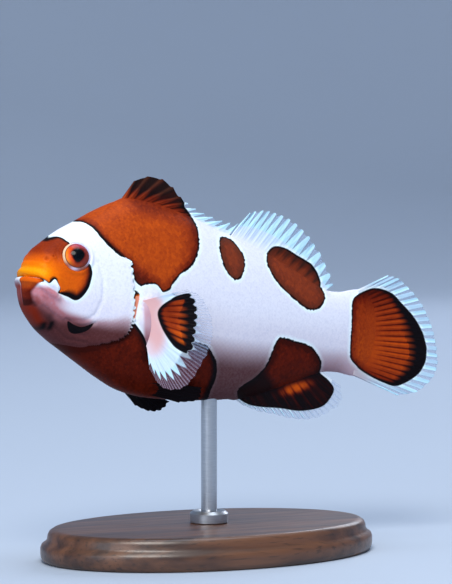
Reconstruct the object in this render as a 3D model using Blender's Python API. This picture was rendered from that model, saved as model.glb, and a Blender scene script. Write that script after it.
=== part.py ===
"""A clownfish (Amphiprion ocellaris), life size and still, on a plain display stand.

The fish is first set out straight, in millimetres: `along` runs from the tip of the snout
towards the tail, `high` is above the body's middle line and `side` is out to the left.
`placed` carries those places onto the swimming pose, in metres with +Z up: the fish faces -X,
its left side is towards -Y, the snout is raised and the head is turned to its left.
The origin is the middle of the underside of the stand's base.
"""
import math

import bmesh
import bpy
import numpy as np
from mathutils import Matrix, Vector

# ---- driving dimensions, in millimetres and radians ----
MM = 0.001
BODY_LENGTH = 70.0
GAP = 0.3

SNOUT_UP = math.radians(9.3)
TAIL_LEVELS = math.radians(6.0)
TAIL_BEND_FROM, TAIL_BEND_OVER = 50.0, 25.0
HEAD_TURN = math.radians(12.0)
NECK_FRONT, NECK_REAR = 4.0, 26.0
ROD_ALONG = 39.0
MIDLINE_HEIGHT = 45.0

# Body outline: (along, value) stations, joined by a smooth curve.
TOP = ((0, 6.0), (1, 6.9), (2.2, 7.9), (3.8, 9.3), (5.7, 10.9), (9.3, 13.3), (13.5, 16.2), (17.4, 18.3),
       (23, 18.7), (30, 17.7), (38, 15.8), (47, 13.6), (56.5, 10.3), (62.3, 8.0), (66, 7.8), (70, 8.5))
BOTTOM = ((0, -3.3), (1.4, -5.1), (3.8, -7.5), (6.6, -9.2), (10, -10.8), (13.8, -12.6), (18.5, -14.8),
          (22, -16.2), (26, -16.95), (32, -16.9), (40, -16.1), (46.2, -15.0), (52, -13.0), (58, -10.2),
          (63, -8.1), (67, -7.8), (70, -8.3))
HALF_WIDTH = ((0, 4.0), (1, 4.3), (2.5, 4.8), (4, 5.2), (6.4, 5.8), (10, 6.7), (15, 7.5), (20, 8.0),
              (27, 8.2), (34, 7.8), (42, 6.8), (50, 5.4), (58, 3.9), (64, 2.9), (70, 2.0))
WIDEST_LEVEL = ((0, 0.4), (6, 0.6), (12, 0.2), (20, -0.8), (30, -1.2), (45, -0.8), (60, 0.0), (70, 0.1))
ROUNDNESS_ABOVE = ((0, 2.1), (10, 2.1), (20, 1.9), (40, 1.7), (70, 1.9))
ROUNDNESS_BELOW = ((0, 2.0), (10, 2.0), (25, 2.2), (40, 2.0), (70, 1.9))
SNOUT_TIP, NOSE_ROUND = -0.4, 2.2

# Rear edge of the gill covers, as (high, along).
GILL_EDGE = ((-14, 9.3), (-11.5, 10.2), (-10, 12.0), (-8.5, 15.4), (-7, 18.2), (-5, 19.6), (-2, 19.8),
             (1.8, 19.2), (5.4, 18.5), (8, 17.9), (12, 16.8), (19, 15.4))
GILL_PLATE_LOW, GILL_PLATE_HIGH = -8.6, 6.0
GILL_PLATE_REACH = 7.2
GILL_PLATE_THICK = 1.2

STALK_FRONT = 56.0
EYE_ALONG, EYE_HIGH = 7.0, 6.4
EYE_RADIUS, EYE_HALF_DEPTH, EYE_SUNK = 2.75, 2.0, 0.85

MARGIN_THICK, RAY_RIDGE = 0.6, 0.3

AROUND = 36
HEAD_RINGS, TRUNK_RINGS, STALK_RINGS = 20, 18, 6

BASE_LENGTH, BASE_WIDTH, BASE_HEIGHT, BASE_BEVEL = 66.0, 42.0, 6.0, 1.2
ROD_RADIUS, ROD_INTO_BASE, ROD_INTO_BODY = 1.5, 3.0, 4.0
COLLAR_RADIUS, COLLAR_HEIGHT = 3.6, 2.0
BASE_SEGMENTS, ROD_SEGMENTS = 44, 24

# ---- finishes: colour, roughness, metallic ----
FINISHES = {
    "skin": ((0.85, 0.86, 0.90), 0.40, 0.0),
    "orange_skin": ((0.62, 0.17, 0.04), 0.40, 0.0),
    "fin": ((0.80, 0.45, 0.30), 0.45, 0.0),
    "eye": ((0.10, 0.03, 0.02), 0.08, 0.0),
    "stand_wood": ((0.16, 0.08, 0.04), 0.45, 0.0),
    "stand_metal": ((0.62, 0.62, 0.62), 0.30, 1.0),
}


def smooth_step(x):
    """0 below 0, 1 above 1, and an even S between."""
    x = np.clip(x, 0.0, 1.0)
    return x * x * (3.0 - 2.0 * x)


def through(stations, at):
    """Smooth curve through (place, value) stations: Hermite pieces with a mean slope at each station."""
    place, value = np.array(stations, float).T
    slope = np.gradient(value, place)
    at = np.clip(at, place[0], place[-1])
    k = np.clip(np.searchsorted(place, at, side="right") - 1, 0, len(place) - 2)
    span = place[k + 1] - place[k]
    t = (at - place[k]) / span
    start = (1 + 2 * t) * (1 - t) ** 2 * value[k] + t * (1 - t) ** 2 * span * slope[k]
    end = t * t * (3 - 2 * t) * value[k + 1] + t * t * (t - 1) * span * slope[k + 1]
    return start + end


# ---- the pose: a middle line that turns at the neck and levels out at the tail ----
LINE_STEP = 0.25
LINE_ALONG = np.arange(-10.0, 110.0, LINE_STEP)


def turn_at(along):
    """How far the body's direction is swung to the left at a place along it."""
    return HEAD_TURN * smooth_step((NECK_REAR - along) / (NECK_REAR - NECK_FRONT))


def slope_at(along):
    """How steeply the middle line runs down towards the tail."""
    return SNOUT_UP - TAIL_LEVELS * smooth_step((along - TAIL_BEND_FROM) / TAIL_BEND_OVER)


def middle_line():
    """World places, in millimetres, of the middle line at LINE_ALONG: the sum of its directions."""
    turn, slope = turn_at(LINE_ALONG), slope_at(LINE_ALONG)
    step = np.stack([np.cos(slope) * np.cos(turn), np.cos(slope) * np.sin(turn), -np.sin(slope)], 1)
    line = np.cumsum(step * LINE_STEP, 0)
    over_base = [np.interp(ROD_ALONG, LINE_ALONG, line[:, k]) for k in range(3)]
    return line - over_base + (0.0, 0.0, MIDLINE_HEIGHT)


LINE = middle_line()


def placed(along, high, side):
    """World places in metres: each cross-section is carried square to the middle line."""
    along, high, side = np.broadcast_arrays(*(np.asarray(v, float) for v in (along, high, side)))
    middle = np.stack([np.interp(along, LINE_ALONG, LINE[:, k]) for k in range(3)], -1)
    turn, slope = turn_at(along), slope_at(along)
    up = np.stack([np.sin(slope) * np.cos(turn), np.sin(slope) * np.sin(turn), np.cos(slope)], -1)
    left = np.stack([np.sin(turn), -np.cos(turn), np.zeros_like(turn)], -1)
    return (middle + up * high[..., None] + left * side[..., None]) * MM


# ---- the body's surface ----
def nose(along):
    """Quarter-circle rounding of the outline at the snout."""
    return np.sqrt(1.0 - (1.0 - np.clip((along - SNOUT_TIP) / NOSE_ROUND, 0.0, 1.0)) ** 2)


def outline(along):
    """Top, bottom, half width and widest level of the cross-section at a place along the body."""
    level = through(WIDEST_LEVEL, along)
    blunt = nose(along)
    top = level + (through(TOP, along) - level) * blunt
    bottom = level + (through(BOTTOM, along) - level) * blunt
    return top, bottom, through(HALF_WIDTH, along) * blunt, level


def section(along, angle, grow=0.0):
    """(high, side) on the cross-section: a superellipse, with its own roundness above and below."""
    top, bottom, half, level = outline(along)
    cos, sin = np.cos(angle), np.sin(angle)
    above = cos > 0
    reach = np.where(above, top - level, level - bottom) + grow
    power = 2.0 / np.where(above, through(ROUNDNESS_ABOVE, along), through(ROUNDNESS_BELOW, along))
    high = level + np.sign(cos) * reach * np.abs(cos) ** power
    side = np.sign(sin) * (half + grow) * np.abs(sin) ** power
    return high, side


def side_at(along, high):
    """Half width of the body at a height."""
    top, bottom, half, level = outline(along)
    above = high > level
    reach = np.where(above, top - level, level - bottom)
    power = np.where(above, through(ROUNDNESS_ABOVE, along), through(ROUNDNESS_BELOW, along))
    share = np.clip(np.abs(high - level) / reach, 0.0, 1.0)
    return half * (1.0 - share ** power) ** (1.0 / power)


def gill_opening(angle):
    """Where along the body the gill opening crosses each ring angle, found by repeated halving steps."""
    along = np.full(len(angle), 15.0)
    for _ in range(60):
        high, _ = section(along, angle)
        along = 0.5 * along + 0.5 * through(GILL_EDGE, high)
    return along


# ---- mesh tools ----
def finish(name):
    """The material of a finish, made once."""
    material = bpy.data.materials.get(name)
    if material is None:
        colour, roughness, metallic = FINISHES[name]
        material = bpy.data.materials.new(name)
        material.use_nodes = True
        shader = material.node_tree.nodes["Principled BSDF"]
        shader.inputs["Base Color"].default_value = (*colour, 1.0)
        shader.inputs["Roughness"].default_value = roughness
        shader.inputs["Metallic"].default_value = metallic
    return material


def add_object(name, bm, material, smooth_under=50.0):
    """One named object from a closed bmesh, with faces pointing out."""
    bmesh.ops.recalc_face_normals(bm, faces=bm.faces)
    mesh = bpy.data.meshes.new(name)
    bm.to_mesh(mesh)
    bm.free()
    mesh.shade_smooth()
    mesh.set_sharp_from_angle(angle=math.radians(smooth_under))
    obj = bpy.data.objects.new(name, mesh)
    bpy.context.scene.collection.objects.link(obj)
    obj.data.materials.append(finish(material))
    return obj


def hide_cutter(obj):
    """A cutter isn't part of the model."""
    obj.hide_render = True
    obj.display_type = "WIRE"
    return obj


def combine(target, cutter, operation):
    """A Boolean on the target."""
    modifier = target.modifiers.new(operation.title(), "BOOLEAN")
    modifier.operation = operation
    modifier.solver = "EXACT"
    modifier.object = cutter


def add_points(bm, points):
    """Vertices for an array of places; the result keeps the array's shape."""
    flat = [bm.verts.new(point) for point in points.reshape(-1, 3)]
    return np.array(flat, dtype=object).reshape(points.shape[:-1])


def skin_rings(bm, rings):
    """Quads between rings of vertices that close on themselves."""
    for one, two in zip(rings[:-1], rings[1:]):
        for k in range(len(one)):
            n = (k + 1) % len(one)
            bm.faces.new((one[k], one[n], two[n], two[k]))


def cap_across(bm, ring):
    """Close a ring with strips from its left side to its right, level by level."""
    half = len(ring) // 2
    bm.faces.new((ring[0], ring[1], ring[-1]))
    for k in range(1, half - 1):
        bm.faces.new((ring[k], ring[k + 1], ring[-k - 1], ring[-k]))
    bm.faces.new((ring[half - 1], ring[half], ring[half + 1]))


def slab(name, front, back, material):
    """Closed solid between two grids of places of the same shape."""
    bm = bmesh.new()
    faces = [add_points(bm, front), add_points(bm, back)]
    rows, columns = front.shape[:2]
    for grid in faces:
        for r in range(rows - 1):
            for c in range(columns - 1):
                bm.faces.new((grid[r, c], grid[r, c + 1], grid[r + 1, c + 1], grid[r + 1, c]))
    rims = []
    for grid in faces:
        rims.append(np.concatenate([grid[0, :-1], grid[:-1, -1], grid[-1, :0:-1], grid[:0:-1, 0]]))
    skin_rings(bm, rims)
    return add_object(name, bm, material)


def body_length(name, starts, ends, shares, material, grow=0.0):
    """A length of the body between two lines round it, each given as the place along at every angle.

    `shares` places the rings between the lines; `grow` makes the length fatter, for a cutter.
    """
    angles = np.arange(AROUND) * 2.0 * math.pi / AROUND
    bm = bmesh.new()
    rings = []
    for share in shares:
        along = starts + (ends - starts) * share
        high, side = section(along, angles, grow)
        rings.append(add_points(bm, placed(along, high, side)))
    skin_rings(bm, rings)
    if starts[0] > SNOUT_TIP:
        cap_across(bm, rings[0])
    else:
        tip = bm.verts.new(placed(SNOUT_TIP, outline(SNOUT_TIP)[3], 0.0))
        for k in range(AROUND):
            bm.faces.new((rings[0][k], rings[0][(k + 1) % AROUND], tip))
    cap_across(bm, rings[-1])
    return add_object(name, bm, material)


def prism(name, outline_points, half_width):
    """Cutter: an outline in (along, high), carried straight across the body."""
    bm = bmesh.new()
    along, high = np.array(outline_points, float).T
    left = add_points(bm, placed(along, high, half_width))
    right = add_points(bm, placed(along, high, -half_width))
    bm.faces.new(left)
    bm.faces.new(right)
    skin_rings(bm, [left, right])
    return hide_cutter(add_object(name, bm, "skin"))


def cylinder(name, radius, bottom, top):
    """Upright metal cylinder on the Z axis between two heights, in millimetres."""
    bm = bmesh.new()
    place = Matrix.Translation(Vector((0, 0, (bottom + top) / 2)) * MM)
    bmesh.ops.create_cone(bm, cap_ends=True, segments=ROD_SEGMENTS, radius1=radius * MM, radius2=radius * MM,
                          depth=(top - bottom) * MM, matrix=place)
    return add_object(name, bm, "stand_metal")


# ---- body ----
def build_body():
    """Head, trunk and tail stalk, parted at the gill opening and before the tail stalk."""
    angles = np.arange(AROUND) * 2.0 * math.pi / AROUND
    opening = gill_opening(angles)
    level = np.ones(AROUND)
    nose_first = (np.arange(1, HEAD_RINGS + 1) / HEAD_RINGS) ** 1.6
    head = body_length("head", SNOUT_TIP * level, opening, nose_first, "skin")
    trunk = body_length("trunk", opening + 1.5 * GAP, STALK_FRONT * level,
                        np.linspace(0.0, 1.0, TRUNK_RINGS), "orange_skin")
    body_length("tail_stalk", (STALK_FRONT + GAP) * level, BODY_LENGTH * level,
                np.linspace(0.0, 1.0, STALK_RINGS), "skin")
    return head, trunk


# The lower jaw's outline from the front of the mouth back to its corner and down to the throat:
# (along, high) and the way each point moves when the outline is grown.
JAW_LINE = ((-3.0, 1.4, 0.0, 1.0), (0.3, 1.35, 0.0, 1.0), (2.2, 0.5, 0.3, 1.0), (4.2, -0.8, 0.8, 0.8),
            (5.2, -5.0, 1.0, 0.3), (6.4, -14.0, 1.0, 0.3), (-3.0, -14.0, 0.0, 0.0))


def build_jaw(head):
    """Part the lower jaw from the head along the mouth and down to the throat."""
    jaw = head.copy()
    jaw.data = head.data.copy()
    jaw.name = "lower_jaw"
    jaw.modifiers.clear()
    bpy.context.scene.collection.objects.link(jaw)
    for target, operation, grow in ((jaw, "INTERSECT", 0.0), (head, "DIFFERENCE", GAP)):
        points = [(a + da * grow, h + dh * grow) for a, h, da, dh in JAW_LINE]
        combine(target, prism("cut_jaw_" + operation.lower(), points, 12.0), operation)


def gill_sheet(hand, depth, grow):
    """Places on the gill cover, `depth` under the surface, with the outline grown by `grow`."""
    high = np.linspace(GILL_PLATE_LOW - grow, GILL_PLATE_HIGH + grow, 9)[:, None]
    middle = (GILL_PLATE_LOW + GILL_PLATE_HIGH) / 2
    bulge = np.clip((high - middle) / (GILL_PLATE_HIGH - GILL_PLATE_LOW + 3.0) * 2.0, -1, 1)
    rear = through(GILL_EDGE, high) + 3.0 * grow
    front = through(GILL_EDGE, high) - GILL_PLATE_REACH * np.sqrt(1.0 - bulge ** 2) - grow
    along = front + (rear - front) * np.linspace(0.0, 1.0, 6)[None, :]
    return placed(along, high, hand * (side_at(along, high) - depth))


def build_gill_covers(head):
    """A plate over each side of the gill opening, in a pocket cut into the head."""
    for name, hand in (("gill_cover_left", 1), ("gill_cover_right", -1)):
        slab(name, gill_sheet(hand, 0.0, 0.0), gill_sheet(hand, GILL_PLATE_THICK, 0.0), "skin")
        outer, inner = gill_sheet(hand, -2.5, GAP), gill_sheet(hand, GILL_PLATE_THICK + GAP, GAP)
        pocket = slab("cut_" + name, outer, inner, "skin")
        combine(head, hide_cutter(pocket), "DIFFERENCE")


def eye_frame(hand):
    """Matrix whose Z axis looks out of the head at the eye, with its origin at the eye's middle."""
    step = 0.5

    def surface(along, high):
        return Vector(placed(along, high, hand * side_at(along, high)))

    middle = surface(EYE_ALONG, EYE_HIGH)
    back = (surface(EYE_ALONG + step, EYE_HIGH) - surface(EYE_ALONG - step, EYE_HIGH)).normalized()
    up = (surface(EYE_ALONG, EYE_HIGH + step) - surface(EYE_ALONG, EYE_HIGH - step)).normalized()
    out = back.cross(up).normalized() * hand
    up = out.cross(back)
    turn = Matrix((back, up, out)).transposed().to_4x4()
    return Matrix.Translation(middle - out * EYE_SUNK * MM) @ turn


def ellipsoid(name, frame, radius, half_depth):
    """A flattened ball in a frame."""
    bm = bmesh.new()
    shape = Matrix.Diagonal((radius * MM, radius * MM, half_depth * MM, 1.0))
    bmesh.ops.create_uvsphere(bm, u_segments=18, v_segments=9, radius=1.0, matrix=frame @ shape)
    return add_object(name, bm, "eye")


def build_eyes(head):
    """Two eyes, each in a socket with a gap all round."""
    for name, hand in (("eye_left", 1), ("eye_right", -1)):
        frame = eye_frame(hand)
        ellipsoid(name, frame, EYE_RADIUS, EYE_HALF_DEPTH)
        socket = ellipsoid("cut_" + name, frame, EYE_RADIUS + GAP, EYE_HALF_DEPTH + GAP)
        combine(head, hide_cutter(socket), "DIFFERENCE")


# ---- fins ----
def fin(name, rays, rows, root, tip, thick, notch=0.5, bow=0.0):
    """A fin: rays from a root curve to a tip curve, ridged at each ray and cut back between the tips.

    `root` and `tip` take the share u across the fin and return (along, high, side) columns.
    The thickness falls from `thick` at the root to MARGIN_THICK at the margin, square to the
    fin's mean plane, and the middle of the fin bows out by `bow`.
    """
    u = np.linspace(0.0, 1.0, 2 * rays - 1)
    on_ray = (np.arange(2 * rays - 1) % 2 == 0).astype(float)
    start, end = root(u), tip(u)
    length = np.linalg.norm(end - start, axis=1)
    v = np.array(rows)[:, None]
    reach = v * (1.0 - (1.0 - on_ray) * notch / length * v)
    sheet = start[None] + (end - start)[None] * reach[..., None]
    sheet[..., 2] += np.sign(sheet[..., 2]) * bow * np.sin(math.pi * u)[None] * v
    middle = placed(sheet[..., 0], sheet[..., 1], sheet[..., 2])
    across = np.cross(np.gradient(middle, axis=0), np.gradient(middle, axis=1)).mean((0, 1))
    across /= np.linalg.norm(across)
    half = (MARGIN_THICK + (thick - MARGIN_THICK) * (1.0 - v) ** 1.4) * (1.0 + RAY_RIDGE * on_ray) / 2
    step = half[..., None] * across * MM
    return slab(name, middle + step, middle - step, "fin")


def curve_of(stations):
    """Function of the share u that returns (along, high, side) columns from (u, along, high, side) rows."""
    table = np.array(stations, float)
    return lambda u: np.stack([through(table[:, (0, k)], u) for k in (1, 2, 3)], 1)


def ridge(start, end, top):
    """Root line of a middle fin, a gap off the back or the belly."""
    def root(u):
        along = start + (end - start) * u
        high = outline(along)[0] + GAP if top else outline(along)[1] - GAP
        return np.stack([along, high, 0.0 * along], 1)
    return root


DORSAL_SPINE_TIPS = ((0, 19.9, 22.2, 0), (0.08, 22.2, 23.4, 0), (0.16, 24.8, 23.6, 0), (0.25, 27.3, 22.7, 0),
                     (0.35, 29.4, 21.0, 0), (0.45, 31.2, 20.1, 0), (0.55, 33.1, 19.4, 0),
                     (0.7, 36.0, 18.7, 0), (0.85, 39.1, 18.1, 0), (1, 41.8, 18.2, 0))
DORSAL_RAY_TIPS = ((0, 42.9, 19.3, 0), (0.15, 46.0, 20.9, 0), (0.3, 49.3, 21.0, 0), (0.45, 52.9, 20.3, 0),
                   (0.6, 56.6, 18.4, 0), (0.75, 60.2, 15.6, 0), (0.9, 63.3, 11.6, 0), (1, 64.9, 8.9, 0))
ANAL_TIPS = ((0, 48.8, -15.9, 0), (0.15, 52.2, -16.6, 0), (0.3, 55.6, -16.8, 0), (0.45, 59.0, -17.2, 0),
             (0.6, 62.5, -17.0, 0), (0.75, 65.8, -15.7, 0), (0.88, 68.4, -13.4, 0), (1, 68.0, -10.2, 0))
TAIL_ROOT = ((0, 70.3, 8.2, 0), (0.5, 70.3, 0.0, 0), (1, 70.3, -8.0, 0))
TAIL_TIPS = ((0, 77.0, 11.4, 0), (0.1, 79.6, 10.8, 0), (0.2, 82.3, 8.8, 0), (0.3, 84.6, 6.4, 0),
             (0.4, 86.5, 3.6, 0), (0.5, 87.9, 0.5, 0), (0.6, 88.8, -2.7, 0), (0.7, 89.2, -5.7, 0),
             (0.8, 87.9, -8.6, 0), (0.9, 84.9, -10.9, 0), (1, 80.5, -11.8, 0))
BREAST_TIPS = ((0, 28.0, 3.7, 12.6), (0.1, 30.4, 2.8, 13.4), (0.2, 32.1, 0.5, 13.8), (0.3, 33.1, -2.1, 13.9),
               (0.4, 33.3, -4.8, 13.8), (0.5, 32.9, -7.6, 13.4), (0.6, 32.0, -10.8, 12.6),
               (0.7, 30.6, -13.6, 11.7), (0.8, 28.6, -14.7, 11.0), (0.9, 26.4, -14.3, 10.3),
               (1, 24.2, -11.6, 9.5))
BREAST_ROOT = ((20.9, 0.2), (23.9, -6.6))
BELLY_ROOT = ((24.2, 1.5), (24.8, 4.4))
BELLY_TIPS = {
    1: ((0, 33.6, -16.9, 3.6), (0.5, 37.0, -15.8, 5.0), (1, 36.6, -13.6, 6.2)),
    -1: ((0, 28.2, -18.7, 3.4), (0.35, 31.4, -19.4, 4.0), (0.7, 34.4, -18.9, 4.8), (1, 36.0, -17.2, 5.6)),
}
SEATED = 1.0


def underside_at(along, side):
    """Height of the belly at a distance out from the middle plane."""
    _, bottom, half, level = outline(along)
    power = through(ROUNDNESS_BELOW, along)
    return level - (level - bottom) * (1.0 - (side / half) ** power) ** (1.0 / power)


def build_middle_fins():
    """Spiny and soft dorsal fins, anal fin and tail fin."""
    rows = (0.0, 0.3, 0.65, 1.0)
    fin("dorsal_fin_front", 11, rows, ridge(17.8, 40.6, True), curve_of(DORSAL_SPINE_TIPS), 1.3, notch=0.9)
    fin("dorsal_fin_rear", 15, rows, ridge(41.4, 62.4, True), curve_of(DORSAL_RAY_TIPS), 1.3)
    fin("anal_fin", 13, rows, ridge(46.4, 63.2, False), curve_of(ANAL_TIPS), 1.3)
    fin("tail_fin", 15, (0.0, 0.2, 0.5, 0.8, 1.0), curve_of(TAIL_ROOT), curve_of(TAIL_TIPS), 2.6)


def build_paired_fins():
    """Breast (pectoral) and belly (pelvic) fins, cut off a gap above the trunk's surface."""
    level = np.ones(AROUND)
    trunk_and_gap = hide_cutter(body_length("cut_paired_fins", 14.0 * level, 46.0 * level,
                                            np.linspace(0.0, 1.0, 24), "skin", grow=GAP))
    rows = (0.0, 0.15, 0.4, 0.7, 1.0)
    for hand, word in ((1, "left"), (-1, "right")):
        mirror = np.array((1.0, 1.0, 1.0, hand))
        breast_root = [(u, a, h, hand * (side_at(a, h) - SEATED)) for u, (a, h) in enumerate(BREAST_ROOT)]
        belly_root = [(u, a, underside_at(a, w) + SEATED, hand * w) for u, (a, w) in enumerate(BELLY_ROOT)]
        breast = fin("pectoral_fin_" + word, 17, rows, curve_of(breast_root),
                     curve_of(np.array(BREAST_TIPS) * mirror), 1.2, bow=0.8)
        belly = fin("pelvic_fin_" + word, 6, rows, curve_of(belly_root),
                    curve_of(np.array(BELLY_TIPS[hand]) * mirror), 1.1)
        combine(breast, trunk_and_gap, "DIFFERENCE")
        combine(belly, trunk_and_gap, "DIFFERENCE")


# ---- stand ----
def build_stand(trunk):
    """An oval base with a collar and one rod that goes up into the belly."""
    bm = bmesh.new()
    shape = Matrix.Translation(Vector((0, 0, BASE_HEIGHT / 2)) * MM) @ Matrix.Diagonal(
        (BASE_LENGTH / 2 * MM, BASE_WIDTH / 2 * MM, BASE_HEIGHT * MM, 1.0))
    bmesh.ops.create_cone(bm, cap_ends=True, segments=BASE_SEGMENTS, radius1=1.0, radius2=1.0, depth=1.0,
                          matrix=shape)
    base = add_object("stand_base", bm, "stand_wood", 30.0)
    bevel = base.modifiers.new("Bevel", "BEVEL")
    bevel.width = BASE_BEVEL * MM
    bevel.segments = 2
    bevel.limit_method = "ANGLE"
    top = MIDLINE_HEIGHT + float(outline(ROD_ALONG)[1]) + ROD_INTO_BODY
    foot = BASE_HEIGHT - ROD_INTO_BASE
    cylinder("stand_rod", ROD_RADIUS, foot, top)
    bore = hide_cutter(cylinder("cut_rod", ROD_RADIUS + GAP, foot - GAP, top + GAP))
    combine(base, bore, "DIFFERENCE")
    combine(trunk, bore, "DIFFERENCE")
    collar = cylinder("stand_collar", COLLAR_RADIUS, BASE_HEIGHT + GAP, BASE_HEIGHT + GAP + COLLAR_HEIGHT)
    combine(collar, bore, "DIFFERENCE")


def main():
    """Clear the scene and build the fish and its stand."""
    for obj in list(bpy.data.objects):
        bpy.data.objects.remove(obj, do_unlink=True)
    head, trunk = build_body()
    build_eyes(head)
    build_gill_covers(head)
    build_jaw(head)
    build_middle_fins()
    build_paired_fins()
    build_stand(trunk)


main()
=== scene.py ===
"""The looks of a life-size clownfish on its display stand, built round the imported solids.

Places on the fish are given as if it were straight, in millimetres: `along` runs from the tip of
the snout to the tail, `high` is above the middle line and `side` is out to the left. `placed`
carries them onto the swimming pose, in metres. The fish faces -X and its left side is at -Y.
"""
import math
from dataclasses import dataclass

import bpy
import numpy as np
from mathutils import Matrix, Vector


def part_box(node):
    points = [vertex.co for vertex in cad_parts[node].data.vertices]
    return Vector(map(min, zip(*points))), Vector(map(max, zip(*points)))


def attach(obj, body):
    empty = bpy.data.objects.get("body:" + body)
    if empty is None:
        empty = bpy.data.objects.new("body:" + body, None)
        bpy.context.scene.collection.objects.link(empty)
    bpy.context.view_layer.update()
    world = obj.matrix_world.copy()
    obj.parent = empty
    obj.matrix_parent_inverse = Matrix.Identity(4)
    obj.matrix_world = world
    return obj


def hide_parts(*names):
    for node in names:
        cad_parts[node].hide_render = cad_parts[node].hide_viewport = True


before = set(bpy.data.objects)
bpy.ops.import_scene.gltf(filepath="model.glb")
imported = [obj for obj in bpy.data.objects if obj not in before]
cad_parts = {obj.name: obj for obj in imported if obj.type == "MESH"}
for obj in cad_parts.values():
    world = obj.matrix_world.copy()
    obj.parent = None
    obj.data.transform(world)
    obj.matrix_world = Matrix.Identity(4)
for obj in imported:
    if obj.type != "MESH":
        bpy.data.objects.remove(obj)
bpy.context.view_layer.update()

# ---- driving dimensions, in millimetres and radians ----
MM = 0.001
SNOUT_UP, TAIL_LEVELS = math.radians(9.3), math.radians(6.0)
TAIL_BEND_FROM, TAIL_BEND_OVER = 50.0, 25.0
HEAD_TURN, NECK_FRONT, NECK_REAR = math.radians(12.0), 4.0, 26.0
ROD_ALONG, MIDLINE_HEIGHT = 39.0, 45.0
SKIN_UNDER = 0.12
EYE_ALONG, EYE_HIGH = 7.0, 6.4
EYE_RADIUS, EYE_HALF_DEPTH, EYE_SUNK = 2.75, 2.0, 0.85

# Body outline stations, (along, value).
TOP = ((0, 6.0), (1, 6.9), (2.2, 7.9), (3.8, 9.3), (5.7, 10.9), (9.3, 13.3), (13.5, 16.2),
       (17.4, 18.3), (23, 18.7), (30, 17.7), (38, 15.8), (47, 13.6), (56.5, 10.3), (62.3, 8.0),
       (66, 7.8), (70, 8.5), (73, 8.4), (75.5, 6.6))
BOTTOM = ((0, -3.3), (1.4, -5.1), (3.8, -7.5), (6.6, -9.2), (10, -10.8), (13.8, -12.6), (18.5, -14.8),
          (22, -16.2), (26, -16.95), (32, -16.9), (40, -16.1), (46.2, -15.0), (52, -13.0), (58, -10.2),
          (63, -8.1), (67, -7.8), (70, -8.3), (73, -8.2), (75.5, -6.4))
HALF_WIDTH = ((0, 4.0), (1, 4.3), (2.5, 4.8), (4, 5.2), (6.4, 5.8), (10, 6.7), (15, 7.5),
              (20, 8.0), (27, 8.2), (34, 7.8), (42, 6.8), (50, 5.4), (58, 3.9), (64, 2.8),
              (70, 1.75), (73, 0.95), (75.5, 0.25))
WIDEST_LEVEL = ((0, 0.4), (6, 0.6), (12, 0.2), (20, -0.8), (30, -1.2), (45, -0.8), (60, 0.0), (75.5, 0.1))
ROUNDNESS_ABOVE = ((0, 2.1), (10, 2.1), (20, 1.9), (40, 1.7), (75.5, 1.9))
ROUNDNESS_BELOW = ((0, 2.0), (10, 2.0), (25, 2.2), (40, 2.0), (75.5, 1.9))
SNOUT_TIP, NOSE_ROUND = -0.4, 2.2
SKIN_END = 75.5

# Rear edge of the gill covers, as (high, along).
GILL_EDGE = ((-14, 7.0), (-11.5, 8.4), (-10, 10.2), (-9.2, 12.6), (-8.4, 15.0), (-7, 18.2), (-5, 19.6),
             (-2, 19.8), (1.8, 19.2), (5.4, 18.5), (8, 17.9), (12, 16.8), (19, 15.4))
GILL_LOW, GILL_HIGH, GILL_REAR = -9.6, 7.6, 22.0
SPINE_PITCH, SPINE_LENGTH = 0.70, 0.80

# The slit of the mouth, from the front back to its corner, and folds of the skin: depth, width, path.
MOUTH = ((-0.4, 1.75), (0.7, 1.5), (1.3, 0.95), (2.4, 0.2), (4.2, -0.6), (6.0, -2.0))
MOUTH_CORNER = 4.3
FOLDS = (
    (-0.18, 0.20, ((2.9, 1.9), (3.6, 1.6), (4.1, 0.7), (4.35, -0.2), (4.1, -1.2))),
    (-0.10, 0.26, ((-0.5, 3.5), (0.9, 3.4), (2.2, 2.8), (3.4, 2.3))),
    (-0.07, 0.22, ((-0.5, 4.7), (1.0, 4.6), (2.4, 4.0), (3.8, 3.2))),
    (-0.17, 0.40, ((11.3, 6.0), (12.6, 3.0), (12.9, -0.5), (12.0, -3.5), (10.0, -5.0), (7.5, -5.2))),
    (-0.30, 0.30, ((6.8, -5.1), (8.6, -5.8), (10.0, -6.0), (11.2, -5.6), (12.4, -5.0))),
    (-0.16, 0.30, ((2.2, -3.4), (4.4, -4.6), (6.2, -5.4), (8.6, -7.2), (11.5, -7.6))),
    (-0.14, 0.26, ((5.0, -6.6), (8.5, -8.6), (12.0, -8.6))),
)
# The front and the rear nostril: along, high and the radius of the rim.
NOSTRILS = ((1.75, 5.15, 0.80), (3.0, 5.85, 0.42))

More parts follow.
